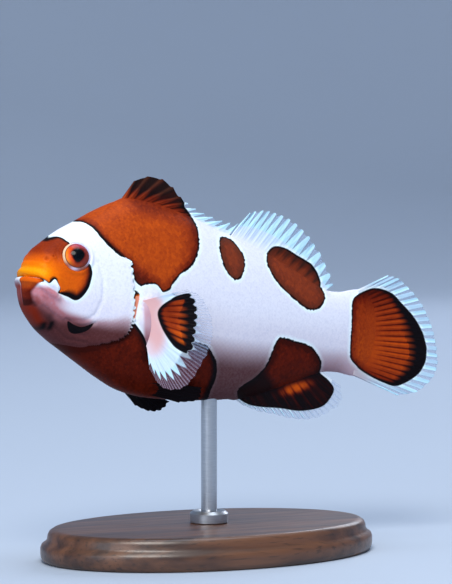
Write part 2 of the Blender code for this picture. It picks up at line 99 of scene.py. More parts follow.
# Markings: each patch is a closed outline of (along, high, width of its black edge). The crescent's
# edge is wider than the patch, which is black all over.
PATCHES = {
    "mask": ((-4, 9.5, 0.1), (2.2, 8.7, 0.12), (3.4, 9.1, 0.25), (4.6, 9.7, 0.35), (5.7, 9.0, 0.38),
             (6.6, 7.4, 0.3), (8.0, 6.6, 0.3), (9.3, 5.6, 0.5), (10.1, 4.2, 0.75), (10.0, 2.6, 0.85),
             (9.6, 0.9, 0.95), (8.5, -0.9, 1.2), (7.4, -1.5, 1.5), (6.0, -1.1, 1.4), (4.6, -0.8, 0.6),
             (4.0, -0.6, 0.3), (4.25, 0.2, 0.05), (3.9, 0.9, 0.05), (3.45, 1.6, 0.2),
             (3.1, 1.72, 0.45), (2.7, 1.35, 0.55), (2.3, 0.92, 0.45), (2.0, 0.85, 0.15),
             (1.6, 1.15, 0.05), (1.1, 1.4, 0.05), (0.1, 1.62, 0.05), (-4, 1.8, 0.05)),
    "chin": ((-4, 1.75, 0), (0.1, 1.62, 0), (0.8, 1.52, 0.03), (1.3, 1.22, 0.12), (1.0, 0.85, 0.03),
             (0.65, 0.4, 0), (0.35, -0.2, 0), (0.2, -0.9, 0), (0.35, -1.6, 0), (0.6, -2.3, 0),
             (0.85, -3.0, 0), (0.7, -3.6, 0), (0, -3.9, 0), (-4, -4.0, 0)),
    "saddle": ((8.6, 14.6, 0.3), (9.6, 13.0, 0.35), (10.6, 12.2, 0.5), (11.7, 10.7, 0.7), (13.3, 9.2, 0.85),
               (15.6, 7.8, 0.8), (17.4, 6.9, 0.5), (18.5, 5.8, 0.3), (19.3, 4.0, 0.3), (20.6, 3.1, 0.35),
               (22.0, 3.6, 0.3), (23.6, 3.8, 0.25), (24.6, 3.2, 0.3), (25.3, 2.6, 0.35), (26.6, 3.2, 0.35),
               (27.2, 4.4, 0.3), (28.6, 6.3, 0.3), (30.5, 7.8, 0.35), (31.7, 9.3, 0.4), (32.6, 11.6, 0.4),
               (32.9, 14.2, 0.4), (32.8, 16.2, 0.4), (32.0, 18.0, 0.5), (30.6, 19.6, 0.6), (30.6, 23.0, 0.6),
               (24.0, 28.0, 0.5), (14.0, 28.0, 0.5)),
    "oval": ((37.6, 14.0, 0.25), (38.3, 14.75, 0.25), (39.6, 14.85, 0.25), (41.0, 14.3, 0.25),
             (42.6, 12.4, 0.25), (43.0, 10.6, 0.25), (42.6, 8.9, 0.25), (41.9, 7.6, 0.3), (40.9, 7.05, 0.3),
             (39.8, 7.3, 0.3), (38.6, 8.4, 0.3), (37.7, 10.2, 0.3), (37.3, 12.2, 0.3)),
    "rear_spot": ((48.9, 13.3, 0.3), (50.3, 14.7, 0.3), (52.8, 14.7, 0.3), (55.4, 13.8, 0.35),
                  (57.6, 13.1, 0.4), (59.4, 12.3, 0.45), (60.8, 10.9, 0.45), (61.6, 9.4, 0.4),
                  (61.7, 8.2, 0.35), (62.3, 7.3, 0.3), (62.3, 6.2, 0.3), (61.5, 5.0, 0.3), (60.4, 4.1, 0.3),
                  (58.8, 3.7, 0.35), (57.3, 3.9, 0.35), (55.4, 4.8, 0.35), (53.0, 6.1, 0.3),
                  (50.8, 7.6, 0.3), (49.2, 9.3, 0.3), (48.3, 11.2, 0.3)),
    "anal": ((51.6, -2.5, 0.3), (53.4, -2.2, 0.3), (55.8, -2.5, 0.35), (58.0, -2.7, 0.35),
             (60.0, -3.4, 0.35), (61.6, -4.6, 0.4), (62.7, -5.9, 0.45), (63.1, -7.2, 0.4), (63.4, -8.0, 0.4),
             (65.4, -9.3, 0.3), (66.7, -10.9, 0.3), (66.0, -13.0, 0.3), (64.3, -14.6, 0.3),
             (60.4, -15.6, 0.3), (56.4, -15.5, 0.3), (52.8, -15.7, 0.3), (50.0, -15.6, 0.3),
             (47.6, -14.8, 0.3), (45.8, -13.6, 0.4), (46.4, -12.1, 0.5), (48.0, -10.9, 0.5),
             (49.5, -9.1, 0.4), (50.4, -7.1, 0.4), (50.8, -4.8, 0.35)),
    "tail": ((68.6, 5.6, 0.3), (69.2, 6.9, 0.3), (71.0, 7.9, 0.3), (73.6, 8.8, 0.35), (75.9, 8.7, 0.5),
             (78.1, 8.0, 0.8), (79.5, 6.9, 1.3), (81.2, 5.4, 2.0), (82.9, 3.9, 2.8), (84.5, 2.0, 3.6),
             (85.8, -0.3, 4.2), (86.5, -2.8, 4.5), (86.4, -5.1, 4.4), (85.3, -7.1, 3.9), (83.6, -8.5, 3.1),
             (81.7, -9.5, 2.1), (79.5, -10.0, 1.2), (77.2, -9.4, 0.6), (74.7, -8.5, 0.4), (72.0, -7.2, 0.4),
             (70.2, -6.0, 0.4), (68.9, -4.6, 0.35), (68.5, -1.0, 0.3), (68.5, 3.0, 0.3)),
    "breast": ((4.8, -8.4, 0), (7.0, -8.9, 0), (9.0, -9.5, 0), (11.2, -9.6, 0), (13.2, -8.8, 0),
               (15.0, -7.9, 0.12), (18.0, -6.6, 0.3), (19.3, -4.4, 0.4), (19.7, -3.2, 0.5),
               (21.4, -4.6, 0.6), (23.0, -6.2, 0.6), (24.2, -8.0, 0.6), (25.2, -9.6, 0.5),
               (27.5, -8.6, 0.4), (30.0, -7.0, 0.4), (33.2, -5.6, 0.4), (36.0, -5.8, 0.5),
               (37.6, -7.0, 0.7), (39.0, -8.8, 1.0), (39.8, -11.0, 1.2), (39.9, -14.0, 1.3),
               (39.7, -19.5, 1.2), (20.0, -22.0, 0.5), (3.0, -15.0, 0)),
    "crescent": ((7.2, -5.5, 9), (8.6, -5.9, 9), (10.0, -6.1, 9), (11.2, -5.6, 9), (12.2, -5.0, 9),
                 (11.5, -6.3, 9), (10.4, -7.1, 9), (9.3, -7.5, 9), (8.1, -7.1, 9)),
    "gill_spot": ((19.0, 1.6, 0.1), (20.2, 2.0, 0.15), (20.7, 1.2, 0), (20.5, -1.0, 0), (20.3, -3.0, 0),
                  (19.2, -3.2, 0)),
}
# How bright each patch's orange is, from maroon at 0 to yellow-orange at 1.
# The breast's orange is kept near maroon as painted shade low on the body.
BRIGHTNESS = {"mask": 0.58, "chin": 0.46, "saddle": 0.42, "oval": 0.24, "rear_spot": 0.24, "anal": 0.10,
              "tail": 0.34, "breast": 0.08, "gill_spot": 0.84}
# How far a patch's orange is dulled towards grey-brown.
VEILED = {"saddle": 0.04, "oval": 0.24, "rear_spot": 0.20}
# Soft marks on the chin and jaw: strength, width and path. Soot is near black and rust a dark red-brown.
SOOT_MARKS = (
    (1.00, 0.62, ((3.70, -6.5), (3.95, -7.15))),
    (1.00, 0.58, ((4.70, -6.1), (4.85, -7.0))),
    (0.45, 0.60, ((3.90, -4.9), (4.50, -6.2))),
    (0.55, 0.24, ((0.85, -2.9), (1.10, -3.4))),
    (0.55, 0.26, ((-0.10, -2.8), (0.15, -3.5))),
)
RUST_MARKS = (
    (0.95, 0.60, ((0.7, -3.5), (1.5, -4.6), (2.4, -5.6), (3.4, -6.5))),
    (0.55, 0.42, ((0.7, -1.9), (1.3, -2.9))),
    (0.30, 0.30, ((1.6, -1.6), (2.3, -1.9))),
)
# Upper limit of the black lower part of the patch over the anal fin.
ANAL_BLACK = ((45, -12.0), (47.5, -9.8), (50, -8.9), (52, -9.8), (54, -11.4), (57, -11.6), (59.5, -9.6),
              (61.6, -8.1), (66, -7.4))
# These lie behind the gill covers' toothed edge, which stands over them.
UNDER_GILL_EDGE = ("saddle", "breast", "gill_spot")
# The lower lip's orange stops a little to the right of the middle, and white shows through the gill spot.
LIP_PAST_MIDDLE, GILL_SPOT_FILM = 0.6, 0.09
# How far outside a patch its distance is still told.
REACH = 4.0
# Limits of the areas whose orange has its own light and shade, and the saddle's lower front lobe.
MASK_REAR, MASK_LOW, MASK_TOP = 11.0, -2.2, 11.0
CHIN_REAR, CHIN_TOP, SADDLE_REAR, TAIL_FRONT = 3.0, 1.5, 34.0, 67.0
SADDLE_LOBE, LOBE_SIZE = (20.3, 4.6), (2.2, 1.8)
# Middle of the tail stalk, and the stretch of the anal patch.
STALK, ANAL_FRONT, ANAL_REAR = 65.0, 44.0, 66.0
# Where the painted shade under the head starts below the middle line, and the depth over which it deepens.
HEAD_SHADE_PLACES = (0.0, 3.0, 5.0, 12.0, 15.7, 18.0)
HEAD_SHADE_START, HEAD_SHADE_OVER = (0.9, 1.5, 2.3, 3.8, 2.8, 1.8), (2.8, 3.6, 4.4, 2.5, 3.6, 4.5)
# The same two for the painted shade under the body, at the front and the rear of the anal patch.
BODY_SHADE = ((2.0, 0.9), (7.8, 6.6))


# ---- shape of the body ----
def smooth_step(x):
    """0 below 0, 1 above 1, and an even S between."""
    x = np.clip(x, 0.0, 1.0)
    return x * x * (3.0 - 2.0 * x)


def rise(x, start, over):
    """Smooth step from 0 at `start` up to 1 at `over` further on."""
    return smooth_step((x - start) / over)


def fall(x, end, over):
    """Smooth step from 1 at `over` before `end` down to 0 at `end`."""
    return smooth_step((end - x) / over)


def bump(x, width):
    """Bell curve: 1 at 0 and about a third at `width`."""
    return np.exp(-((x / width) ** 2))


def out_from(middle, size, along, high):
    """Distance from an oval's middle, as a share of the distance from there to its edge."""
    return np.hypot((along - middle[0]) / size[0], (high - middle[1]) / size[1])


def through(stations, at):
    """Smooth curve through (place, value) stations: Hermite pieces with a mean slope at each station."""
    place, value = np.array(stations, float).T
    slope = np.gradient(value, place)
    at = np.clip(at, place[0], place[-1])
    k = np.clip(np.searchsorted(place, at, side="right") - 1, 0, len(place) - 2)
    span = place[k + 1] - place[k]
    t = (at - place[k]) / span
    start = (1 + 2 * t) * (1 - t) ** 2 * value[k] + t * (1 - t) ** 2 * span * slope[k]
    end = t * t * (3 - 2 * t) * value[k + 1] + t * t * (t - 1) * span * slope[k + 1]
    return start + end


def unit(vectors):
    """Vectors made one long."""
    return vectors / np.maximum(np.linalg.norm(vectors, axis=-1, keepdims=True), 1e-12)


LINE_STEP = 0.25
LINE_ALONG = np.arange(-10.0, 110.0, LINE_STEP)


def turn_at(along):
    """How far the body's direction is swung to the left at a place along it."""
    return HEAD_TURN * fall(along, NECK_REAR, NECK_REAR - NECK_FRONT)


def slope_at(along):
    """How steeply the middle line runs down towards the tail."""
    return SNOUT_UP - TAIL_LEVELS * rise(along, TAIL_BEND_FROM, TAIL_BEND_OVER)


def middle_line():
    """World places, in millimetres, of the middle line at LINE_ALONG: the sum of its directions."""
    turn, slope = turn_at(LINE_ALONG), slope_at(LINE_ALONG)
    step = np.stack([np.cos(slope) * np.cos(turn), np.cos(slope) * np.sin(turn), -np.sin(slope)], 1)
    line = np.cumsum(step * LINE_STEP, 0)
    over_base = [np.interp(ROD_ALONG, LINE_ALONG, line[:, k]) for k in range(3)]
    return line - over_base + (0.0, 0.0, MIDLINE_HEIGHT)


LINE = middle_line()


def placed(along, high, side):
    """World places in metres: each cross-section is carried square to the middle line."""
    along, high, side = np.broadcast_arrays(*(np.asarray(v, float) for v in (along, high, side)))
    middle = np.stack([np.interp(along, LINE_ALONG, LINE[:, k]) for k in range(3)], -1)
    turn, slope = turn_at(along), slope_at(along)
    up = np.stack([np.sin(slope) * np.cos(turn), np.sin(slope) * np.sin(turn), np.cos(slope)], -1)
    left = np.stack([np.sin(turn), -np.cos(turn), np.zeros_like(turn)], -1)
    return (middle + up * high[..., None] + left * side[..., None]) * MM


def outline(along):
    """Top, bottom, half width and widest level of the cross-section; a quarter circle rounds the nose."""
    level = through(WIDEST_LEVEL, along)
    blunt = np.sqrt(1.0 - (1.0 - np.clip((along - SNOUT_TIP) / NOSE_ROUND, 0.0, 1.0)) ** 2)
    top = level + (through(TOP, along) - level) * blunt
    bottom = level + (through(BOTTOM, along) - level) * blunt
    return top, bottom, through(HALF_WIDTH, along) * blunt, level


def reach_and_power(along, above):
    """Height or depth of the cross-section from its widest level, and its roundness, above or below it."""
    top, bottom, _, level = outline(along)
    reach = np.where(above, top - level, level - bottom)
    return reach, np.where(above, through(ROUNDNESS_ABOVE, along), through(ROUNDNESS_BELOW, along))


def section(along, angle):
    """(high, side) on the cross-section, a superellipse: the powers of a cosine and a sine."""
    _, _, half, level = outline(along)
    cos, sin = np.cos(angle), np.sin(angle)
    reach, roundness = reach_and_power(along, cos > 0)
    power = 2.0 / roundness
    return level + np.sign(cos) * reach * np.abs(cos) ** power, np.sign(sin) * half * np.abs(sin) ** power


def side_at(along, high):
    """Half width of the body at a height."""
    _, _, half, level = outline(along)
    reach, power = reach_and_power(along, high > level)
    share = np.clip(np.abs(high - level) / reach, 0.0, 1.0)
    return half * (1.0 - share ** power) ** (1.0 / power)


def underside_at(along, side):
    """Height of the belly at a distance out from the middle plane."""
    _, bottom, half, level = outline(along)
    power = through(ROUNDNESS_BELOW, along)
    return level - (level - bottom) * (1.0 - (side / half) ** power) ** (1.0 / power)


def surface_at(along, high, hand):
    """World place on the smooth body's left side, or on its right for a `hand` of -1."""
    return placed(along, high, hand * side_at(along, high))


# ---- markings ----
def closed_curve(points, between=5):
    """Catmull-Rom curve through a closed outline's points, with `between` steps from each to the next."""
    p = np.array(points, float)
    before, after, later = np.roll(p, 1, 0), np.roll(p, -1, 0), np.roll(p, -2, 0)
    t = (np.arange(between) / between)[None, :, None]
    curve = 0.5 * (2 * p[:, None] + (after - before)[:, None] * t
                   + (2 * before - 5 * p + 4 * after - later)[:, None] * t ** 2
                   + (3 * p - before - 3 * after + later)[:, None] * t ** 3)
    return curve.reshape(-1, p.shape[1])


def inside_outline(points, along, high):
    """Distance inside an outline (negative outside, no less than -REACH) and its edge width there.

    Each point's nearest place on every segment is found; the crossings of a ray tell inside from outside.
    """
    curve = closed_curve(points)
    ends = np.roll(curve, -1, 0)
    x, y = along.ravel(), high.ravel()
    low, top = curve[:, :2].min(0) - REACH, curve[:, :2].max(0) + REACH
    near = np.flatnonzero((x > low[0]) & (x < top[0]) & (y > low[1]) & (y < top[1]))
    px, py = x[near], y[near]
    best, width = np.full(len(near), REACH ** 2), np.zeros(len(near))
    inside = np.zeros(len(near), bool)
    for (ax, ay, aw), (bx, by, bw) in zip(curve, ends):
        dx, dy = bx - ax, by - ay
        t = np.clip(((px - ax) * dx + (py - ay) * dy) / max(dx * dx + dy * dy, 1e-12), 0.0, 1.0)
        gap = (px - ax - t * dx) ** 2 + (py - ay - t * dy) ** 2
        closer = gap < best
        best = np.where(closer, gap, best)
        width = np.where(closer, aw + t * (bw - aw), width)
        if ay != by:
            inside ^= ((py > ay) != (py > by)) & (px < ax + (py - ay) * dx / dy)
    distance, edge = np.full(x.shape, -REACH), np.zeros(x.shape)
    distance[near] = np.where(inside, 1.0, -1.0) * np.sqrt(best)
    edge[near] = width
    return distance.reshape(along.shape), edge.reshape(along.shape)


def path_distance(path, along, high):
    """Distance to an open path of straight pieces."""
    best = np.full(along.shape, np.inf)
    for (ax, ay), (bx, by) in zip(path[:-1], path[1:]):
        dx, dy = bx - ax, by - ay
        t = np.clip(((along - ax) * dx + (high - ay) * dy) / (dx * dx + dy * dy), 0.0, 1.0)
        best = np.minimum(best, np.hypot(along - ax - t * dx, high - ay - t * dy))
    return best


def past_gill_edge(along, high):
    """Distance behind the gill cover's edge, which is cut into small backward spines."""
    tooth = np.abs(((high / SPINE_PITCH) % 1.0) - 0.5) * 2.0
    return along - through(GILL_EDGE, high) - SPINE_LENGTH * (0.6 - tooth)


def patches_at(along, high, side):
    """Distance inside the nearest patch, the width of its black edge, its brightness and how dull it is."""
    inside = np.full(along.shape, -REACH)
    edge, fire, veil = np.zeros(along.shape), np.full(along.shape, 0.5), np.zeros(along.shape)
    gill = past_gill_edge(along, high)
    beside_gill = (high > GILL_LOW) & (high < GILL_HIGH) & (along < GILL_REAR)
    for name, points in PATCHES.items():
        distance, width = inside_outline(points, along, high)
        if name in UNDER_GILL_EDGE:
            distance = np.where(beside_gill, np.minimum(distance, gill), distance)
        if name == "chin" and side is not None:
            distance = np.minimum(distance, side + LIP_PAST_MIDDLE)
        if name == "gill_spot":
            distance = np.minimum(distance, GILL_SPOT_FILM)
        over = distance > inside
        inside = np.where(over, distance, inside)
        edge = np.where(over, width, edge)
        fire = np.where(over, BRIGHTNESS.get(name, 0.0), fire)
        veil = np.where(over, VEILED.get(name, 0.0), veil)
    return inside, edge, fire, veil


def glow_of(along, high, inside):
    """What is added to a patch's brightness: its own light and dark parts and some painted shade, a sum of
    soft steps and bumps.
    """
    # The snout is brightest over the lip, duller on the forehead and maroon behind the eye.
    lowest = np.maximum(through(MOUTH, along) - 1.0, MASK_LOW)
    mask = (along < MASK_REAR) & (high > lowest) & (high < MASK_TOP)
    from_nostril = np.hypot(along - NOSTRILS[0][0], high - NOSTRILS[0][1])
    snout = 0.34 * fall(along, 5.2, 4.2) * bump(high - 2.7, 1.9) - 0.30 * rise(high, 4.2, 3.0)
    behind_eye = 0.36 * fall(inside, 2.3, 2.2) * rise(along, 6.4, 1.6)
    # Painted highlight on the nostril's raised rim and painted shade in its pit.
    nostril = 0.05 * bump(from_nostril - 0.85, 0.3) - 0.05 * bump(from_nostril, 0.5)
    # The lower lip is bright only along its top; lower down the chin has painted shade, and it darkens
    # towards its edges.
    chin = (along < CHIN_REAR) & (high < CHIN_TOP)
    lip = 0.06 * rise(high, 0.8, 0.4) + 0.20 * fall(high, 0.4, 1.6) + 0.20 * fall(high, -1.9, 1.0)
    lip = lip + 0.18 * fall(inside, 0.6, 0.6) * fall(high, 1.3, 0.6)
    # The saddle darkens under the fin, behind and in its lower front lobe.
    under_fin = rise(high, 14.6, 3.8) * rise(along, 16.5, 5.0) * (along < SADDLE_REAR)
    lobe = bump(out_from(SADDLE_LOBE, LOBE_SIZE, along, high), 1.0)
    behind = rise(along, 27.5, 4.0) * (along < SADDLE_REAR) * (high > 0.0)
    saddle = 0.20 * under_fin + 0.26 * lobe + 0.14 * behind * (1.0 - under_fin)
    # The tail's spot darkens upwards.
    tail = (along > TAIL_FRONT) * (inside > -1.0)
    tail = tail * (0.16 * rise(high, 2.5, 5.0) - 0.05 * bump(high + 3.0, 3.0))
    # Other orange darkens towards a patch's edge.
    rim = 0.17 * fall(inside, 2.0, 1.8) * ~(mask | chin)
    return mask * (snout - behind_eye + nostril) - chin * lip - saddle - tail - rim


def blush_and_painted_shade(along, high):
    """How pink the white is, and the painted shade that darkens it towards the belly."""
    jaw = fall(along, 7.8, 5.4) * fall(high, 0.9, 1.4) * fall(high, through(MOUTH, along) + 0.2, 0.5)
    # The flank and the stalk's bottom turn pink below: partly their own colour, partly the red-brown tone of
    # the painted shade there.
    flank = 0.10 * fall(high, 3.0, 6.0) + 0.35 * fall(high, -3.0, 5.0)
    stalk = 0.20 * fall(high, -2.5, 3.0) * bump(along - STALK, 7.0)
    shoulder = 0.62 * rise(along + 0.22 * high, 21.0, 0.8) * fall(along, 25.5, 1.2)
    shoulder = shoulder * fall(high, 1.2, 1.5) * rise(high, -7.6, 1.5)
    # The painted shade starts low and is sudden on the cheek, and starts higher on the chin and the tail
    # stalk.
    head_start, head_over = (np.interp(along, HEAD_SHADE_PLACES, values) for values in (HEAD_SHADE_START, HEAD_SHADE_OVER))
    head_painted_shade = fall(high, -head_start, head_over) * fall(along, 20.5, 1.5)
    # The throat turns pink where the painted shade under the head sets in, giving it a red-brown tone.
    throat = rise(head_painted_shade, 0.0, 0.5) * np.interp(along, (6.0, 15.0), (0.8, 0.45))
    body_start, body_over = (np.interp(along, (ANAL_FRONT, ANAL_REAR), ends) for ends in BODY_SHADE)
    body_painted_shade = fall(high, -body_start, body_over) * rise(along, 14.0, 3.0)
    body_painted_shade = body_painted_shade * (1.0 - 0.42 * rise(along, 58.0, 5.0) - 0.26 * rise(along, 66.0, 5.0))
    # Painted shade, where light falls least: under the head and the body, and faintly along the flank from
    # behind the head.
    dusk = np.maximum(np.maximum(0.98 * head_painted_shade, 0.95 * body_painted_shade), 0.09 * rise(along, 22.0, 14.0))
    return np.clip(jaw + flank + stalk + shoulder + throat, 0.0, 1.0), dusk


def soft_marks(along, high, side, inside):
    """How sooty and how rusty the skin is: the strongest of the marks at each place."""
    soot, rust = (np.max([strength * bump(path_distance(path, along, high), width)
                          for strength, width, path in marks], 0) for marks in (SOOT_MARKS, RUST_MARKS))
    if side is not None:
        # The right of the chin is brown too.
        rust = np.maximum(rust, 0.85 * fall(side, -0.5, 0.4) * fall(high, 1.6, 1.8) * fall(along, 1.6, 1.2))
    anal = (along > ANAL_FRONT) * (along < ANAL_REAR) * (inside > 0.0)
    anal = 0.9 * anal * fall(high, through(ANAL_BLACK, along) + 1.2, 2.4)
    return np.maximum(soot, anal), rust


def markings(along, high, side=None):
    """The colours' guides at places on the body and middle fins, as arrays.

    inside: distance inside the nearest patch; edge: width of its black edge; fire: the orange's
    brightness; veil: how dull it is; blush: how pink the white is; dusk: the painted
    shade that darkens the white towards the belly; soot and rust: soft near-black and red-brown marks.
    """
    inside, edge, fire, veil = patches_at(along, high, side)
    blush, dusk = blush_and_painted_shade(along, high)
    soot, rust = soft_marks(along, high, side, inside)
    return {"inside": inside, "edge": edge, "fire": fire + glow_of(along, high, inside), "blush": blush,
            "dusk": dusk, "soot": soot, "rust": rust, "veil": veil}


# ---- meshes ----
CREASE = math.radians(40.0)


def grid_quads(rows, columns):
    """Quads of a grid whose points are numbered row by row."""
    corner = np.arange(rows - 1)[:, None] * columns + np.arange(columns - 1)[None, :]
    return np.stack([corner, corner + 1, corner + columns + 1, corner + columns], -1).reshape(-1, 4)


def ring_quads(rings, around):
    """Quads round a stack of closed rings: a grid with one more column, which is the first again."""
    corner = grid_quads(rings, around + 1)
    return corner % (around + 1) % around + corner // (around + 1) * around


def closed_faces(rings, around):
    """Quads round a stack of closed rings, and fans at its ends to the two points numbered after theirs."""
    ring, last, count = np.arange(around), (rings - 1) * around, rings * around
    after = np.roll(ring, -1)
    front = np.stack([np.full(around, count), after, ring], -1)
    rear = np.stack([last + ring, last + after, np.full(around, count + 1)], -1)
    return ring_quads(rings, around), front, rear


def slab_faces(rows, columns):
    """Faces of a closed slab: a front grid, a back grid turned round, and a wall between their borders."""
    count = rows * columns
    front = grid_quads(rows, columns)
    index = np.arange(count).reshape(rows, columns)
    loop = np.concatenate([index[0, :-1], index[:-1, -1], index[-1, :0:-1], index[:0:-1, 0]])
    after = np.roll(loop, -1)
    wall = np.stack([after, loop, loop + count, after + count], -1)
    return np.concatenate([front, front[:, ::-1] + count, wall])


def in_scene(name, data):
    """A new object of the scene, made of a mesh, a lamp or a camera."""
    obj = bpy.data.objects.new(name, data)
    bpy.context.scene.collection.objects.link(obj)
    return obj


def make_piece(name, places, faces, look, replaces=(), values=None, bake_map=None, creased=False):
    """A shown mesh riding on the model: places in metres, faces as rows of point numbers."""
    mesh = bpy.data.meshes.new(name)
    mesh.from_pydata(places.tolist(), [], faces if isinstance(faces, list) else faces.tolist())
    for key, value in (values or {}).items():
        attribute = mesh.attributes.new(key, "FLOAT", "POINT")
        full = np.broadcast_to(value, len(places)).astype(np.float32)
        attribute.data.foreach_set("value", full)
    if bake_map is not None:
        layer = mesh.uv_layers.new(name="OFBake")
        layer.data.foreach_set("uv", bake_map.astype(np.float32).ravel())
    mesh.shade_smooth()
    mesh.update()
    if creased:
        mesh.set_sharp_from_angle(angle=CREASE)
    obj = in_scene(name, mesh)
    mesh.materials.append(look)
    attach(obj, "root")
    if replaces:
        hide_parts(*replaces)


# ---- looks ----
class Value:
    """A shader socket that takes part in Python sums: each operator adds one Math node."""

    def __init__(self, look, socket):
        """Keeps the look it belongs to."""
        self.look = look
        self.socket = socket

    def maths(self, operation, *values):
        """Result of a Math node."""
        return self.look.node("ShaderNodeMath", {"operation": operation}, *values)

    def __add__(self, other):
        """This and the other together."""
        return self.maths("ADD", self, other)

    def __sub__(self, other):
        """This less the other."""
        return self.maths("SUBTRACT", self, other)

    def __mul__(self, other):
        """This times the other."""
        return self.maths("MULTIPLY", self, other)

    def __truediv__(self, other):
        """This over the other."""
        return self.maths("DIVIDE", self, other)

    def __rsub__(self, other):
        """The other less this."""
        return self.maths("SUBTRACT", other, self)

    __radd__ = __add__
    __rmul__ = __mul__


class Look:
    """A material and the nodes that feed its Principled shader."""

    def __init__(self, name, **constants):
        """A new material whose shader's named sockets hold constants."""
        self.material = bpy.data.materials.new(name)
        self.material.use_nodes = True
        self.tree = self.material.node_tree
        self.shader = self.tree.nodes["Principled BSDF"]
        for key, value in constants.items():
            self.shader.inputs[key.replace("_", " ")].default_value = value

    def node(self, kind, settings, *values, out=0, sockets=None, **named):
        """Adds a node: settings first, then its sockets' values or links, in order, by number or by name."""
        made = self.tree.nodes.new(kind)
        for key, value in settings.items():
            setattr(made, key, value)
        for key, value in [*enumerate(values), *(sockets or {}).items(), *named.items()]:
            if isinstance(value, Value):
                self.tree.links.new(value.socket, made.inputs[key])
            else:
                made.inputs[key].default_value = value
        return Value(self, made.outputs[out])

    def read(self, name):
        """A value kept with the mesh's points."""
        return self.node("ShaderNodeAttribute", {"attribute_name": name}, out="Fac")

    def step(self, value, low, high):
        """Smooth step of a value between two limits."""
        smooth = {"interpolation_type": "SMOOTHSTEP"}
        return self.node("ShaderNodeMapRange", smooth, value, low, high, 0.0, 1.0)

    def mix(self, share, a, b):
        """Colour a where share is 0 and b where it is 1."""
        a, b = (colour if isinstance(colour, Value) else (*colour, 1.0) for colour in (a, b))
        return self.node("ShaderNodeMix", {"data_type": "RGBA"}, out=2, sockets={0: share, 6: a, 7: b})

    def ramp(self, place, stops):
        """Colours blended between (place, colour) stops."""
        made = self.node("ShaderNodeValToRGB", {}, place, out="Color")
        elements = made.socket.node.color_ramp.elements
        while len(elements) < len(stops):
            elements.new(0.5)
        for element, (at, colour) in zip(elements, stops):
            element.position = at
            element.color = (*colour, 1.0)
        return made

    def noise(self, scale, detail=2.0, stretch=(1.0, 1.0, 1.0)):
        """Noise on the model's own coordinates, in features per metre."""
        at = self.node("ShaderNodeTexCoord", {}, out="Object")
        at = self.node("ShaderNodeMapping", {}, at, Scale=stretch)
        return self.node("ShaderNodeTexNoise", {}, Vector=at, Scale=scale, Detail=detail)

    def feed(self, **links):
        """Links values to the shader's sockets."""
        for key, value in links.items():
            self.tree.links.new(value.socket, self.shader.inputs[key.replace("_", " ")])

    def rough_up(self, height, distance, strength=1.0):
        """Bump the surface by a height of 0 to 1 over a distance in metres."""
        bumped = self.node("ShaderNodeBump", {}, Strength=strength, Distance=distance, Height=height)
        self.feed(Normal=bumped)


def paint(red, green, blue):
    """Linear colour from the 0 to 255 numbers of a paint chart."""
    chart = np.array([red, green, blue]) / 255.0
    return tuple(np.where(chart <= 0.04045, chart / 12.92, ((chart + 0.055) / 1.055) ** 2.4))


# The second white is a painted bluish sheen by the patches' edges; SHADE is the colour of painted shade.
WHITE, EDGE_SHEEN_WHITE, ROSE = paint(233, 236, 250), paint(234, 252, 255), paint(196, 124, 132)
SHADE, SOOT, RUST, DULL = paint(80, 40, 40), paint(12, 8, 12), paint(122, 32, 8), paint(118, 82, 62)
# From maroon to yellow-orange.
ORANGES = ((0.0, paint(58, 10, 3)), (0.18, paint(104, 26, 7)), (0.34, paint(150, 52, 14)),
           (0.56, paint(208, 86, 14)), (0.78, paint(244, 116, 4)), (1.0, paint(255, 168, 8)))
# The soft sheen that skin and fins share.
SHEEN = {"Coat_Weight": 0.02, "Coat_Roughness": 0.25, "IOR": 1.4, "Specular_IOR_Level": 0.07}


def in_patch(look, soft=0.06):
    """Share of patch, and how black it is: full black at the outline, fading inwards, and in the soot.

    Where the edge has no width the outline is blurred and has no black.
    """
    inside, edge = look.read("inside"), look.read("edge")
    blur = soft + 0.12 * (1.0 - look.step(edge, 0.0, 0.03))
    patch = look.step(inside, 0.0 - blur, blur)
    line = 1.0 - look.step((inside - edge * 0.45) / (edge * 0.8 + 0.14), 0.0, 1.0)
    clean = 1.0 - line * look.step(edge, 0.0, 0.06)
    return inside, patch, 1.0 - clean * (1.0 - look.read("soot"))


def skin_look(name, speckle):
    """Scaled or bare skin: white and pink with painted shade below, orange patches edged in black, and a
    painted bluish sheen just outside them.
    """
    look = Look(name, **SHEEN)
    inside, patch, black = in_patch(look)
    tint, blush, dusk, soot, rust = (look.read(key) for key in ("tint", "blush", "dusk", "soot", "rust"))
    mottle, cloud = look.noise(2600.0, 3.0), look.noise(300.0, 3.0)
    white = look.mix(blush * (0.8 + 0.4 * cloud), WHITE, ROSE)
    # Painted shade: the white darkens to the shade colour towards the belly and under the head.
    white = look.mix(dusk * (0.93 + 0.14 * mottle), white, SHADE)
    flecks = ((mottle - 0.42) * speckle + (tint - 0.5) * 0.16) * (1.0 - dusk)
    white = look.mix(flecks, white, paint(176, 180, 208))
    # A painted bluish-white sheen just outside the patches' black edges, the iridescent line along them.
    glow = look.step(inside, -0.9, -0.1) * (1.0 - dusk) * (1.0 - blush)
    white = look.mix(glow * 0.8, white, EDGE_SHEEN_WHITE)
    white = look.mix(rust * (0.7 + 0.6 * cloud), white, RUST)
    white = look.mix(soot, white, SOOT)
    fire = look.read("fire") + (tint - 0.5) * 0.08 + (mottle - 0.5) * 0.15 + (cloud - 0.5) * 0.08
    warm = look.mix(look.read("veil"), look.ramp(fire, ORANGES), DULL)
    warm = look.mix(black, warm, SOOT)
    look.feed(Base_Color=look.mix(patch, white, warm), Roughness=0.42 + 0.14 * mottle + 0.05 * tint)
    look.rough_up(mottle, 0.00005, 0.4)
    return look.material


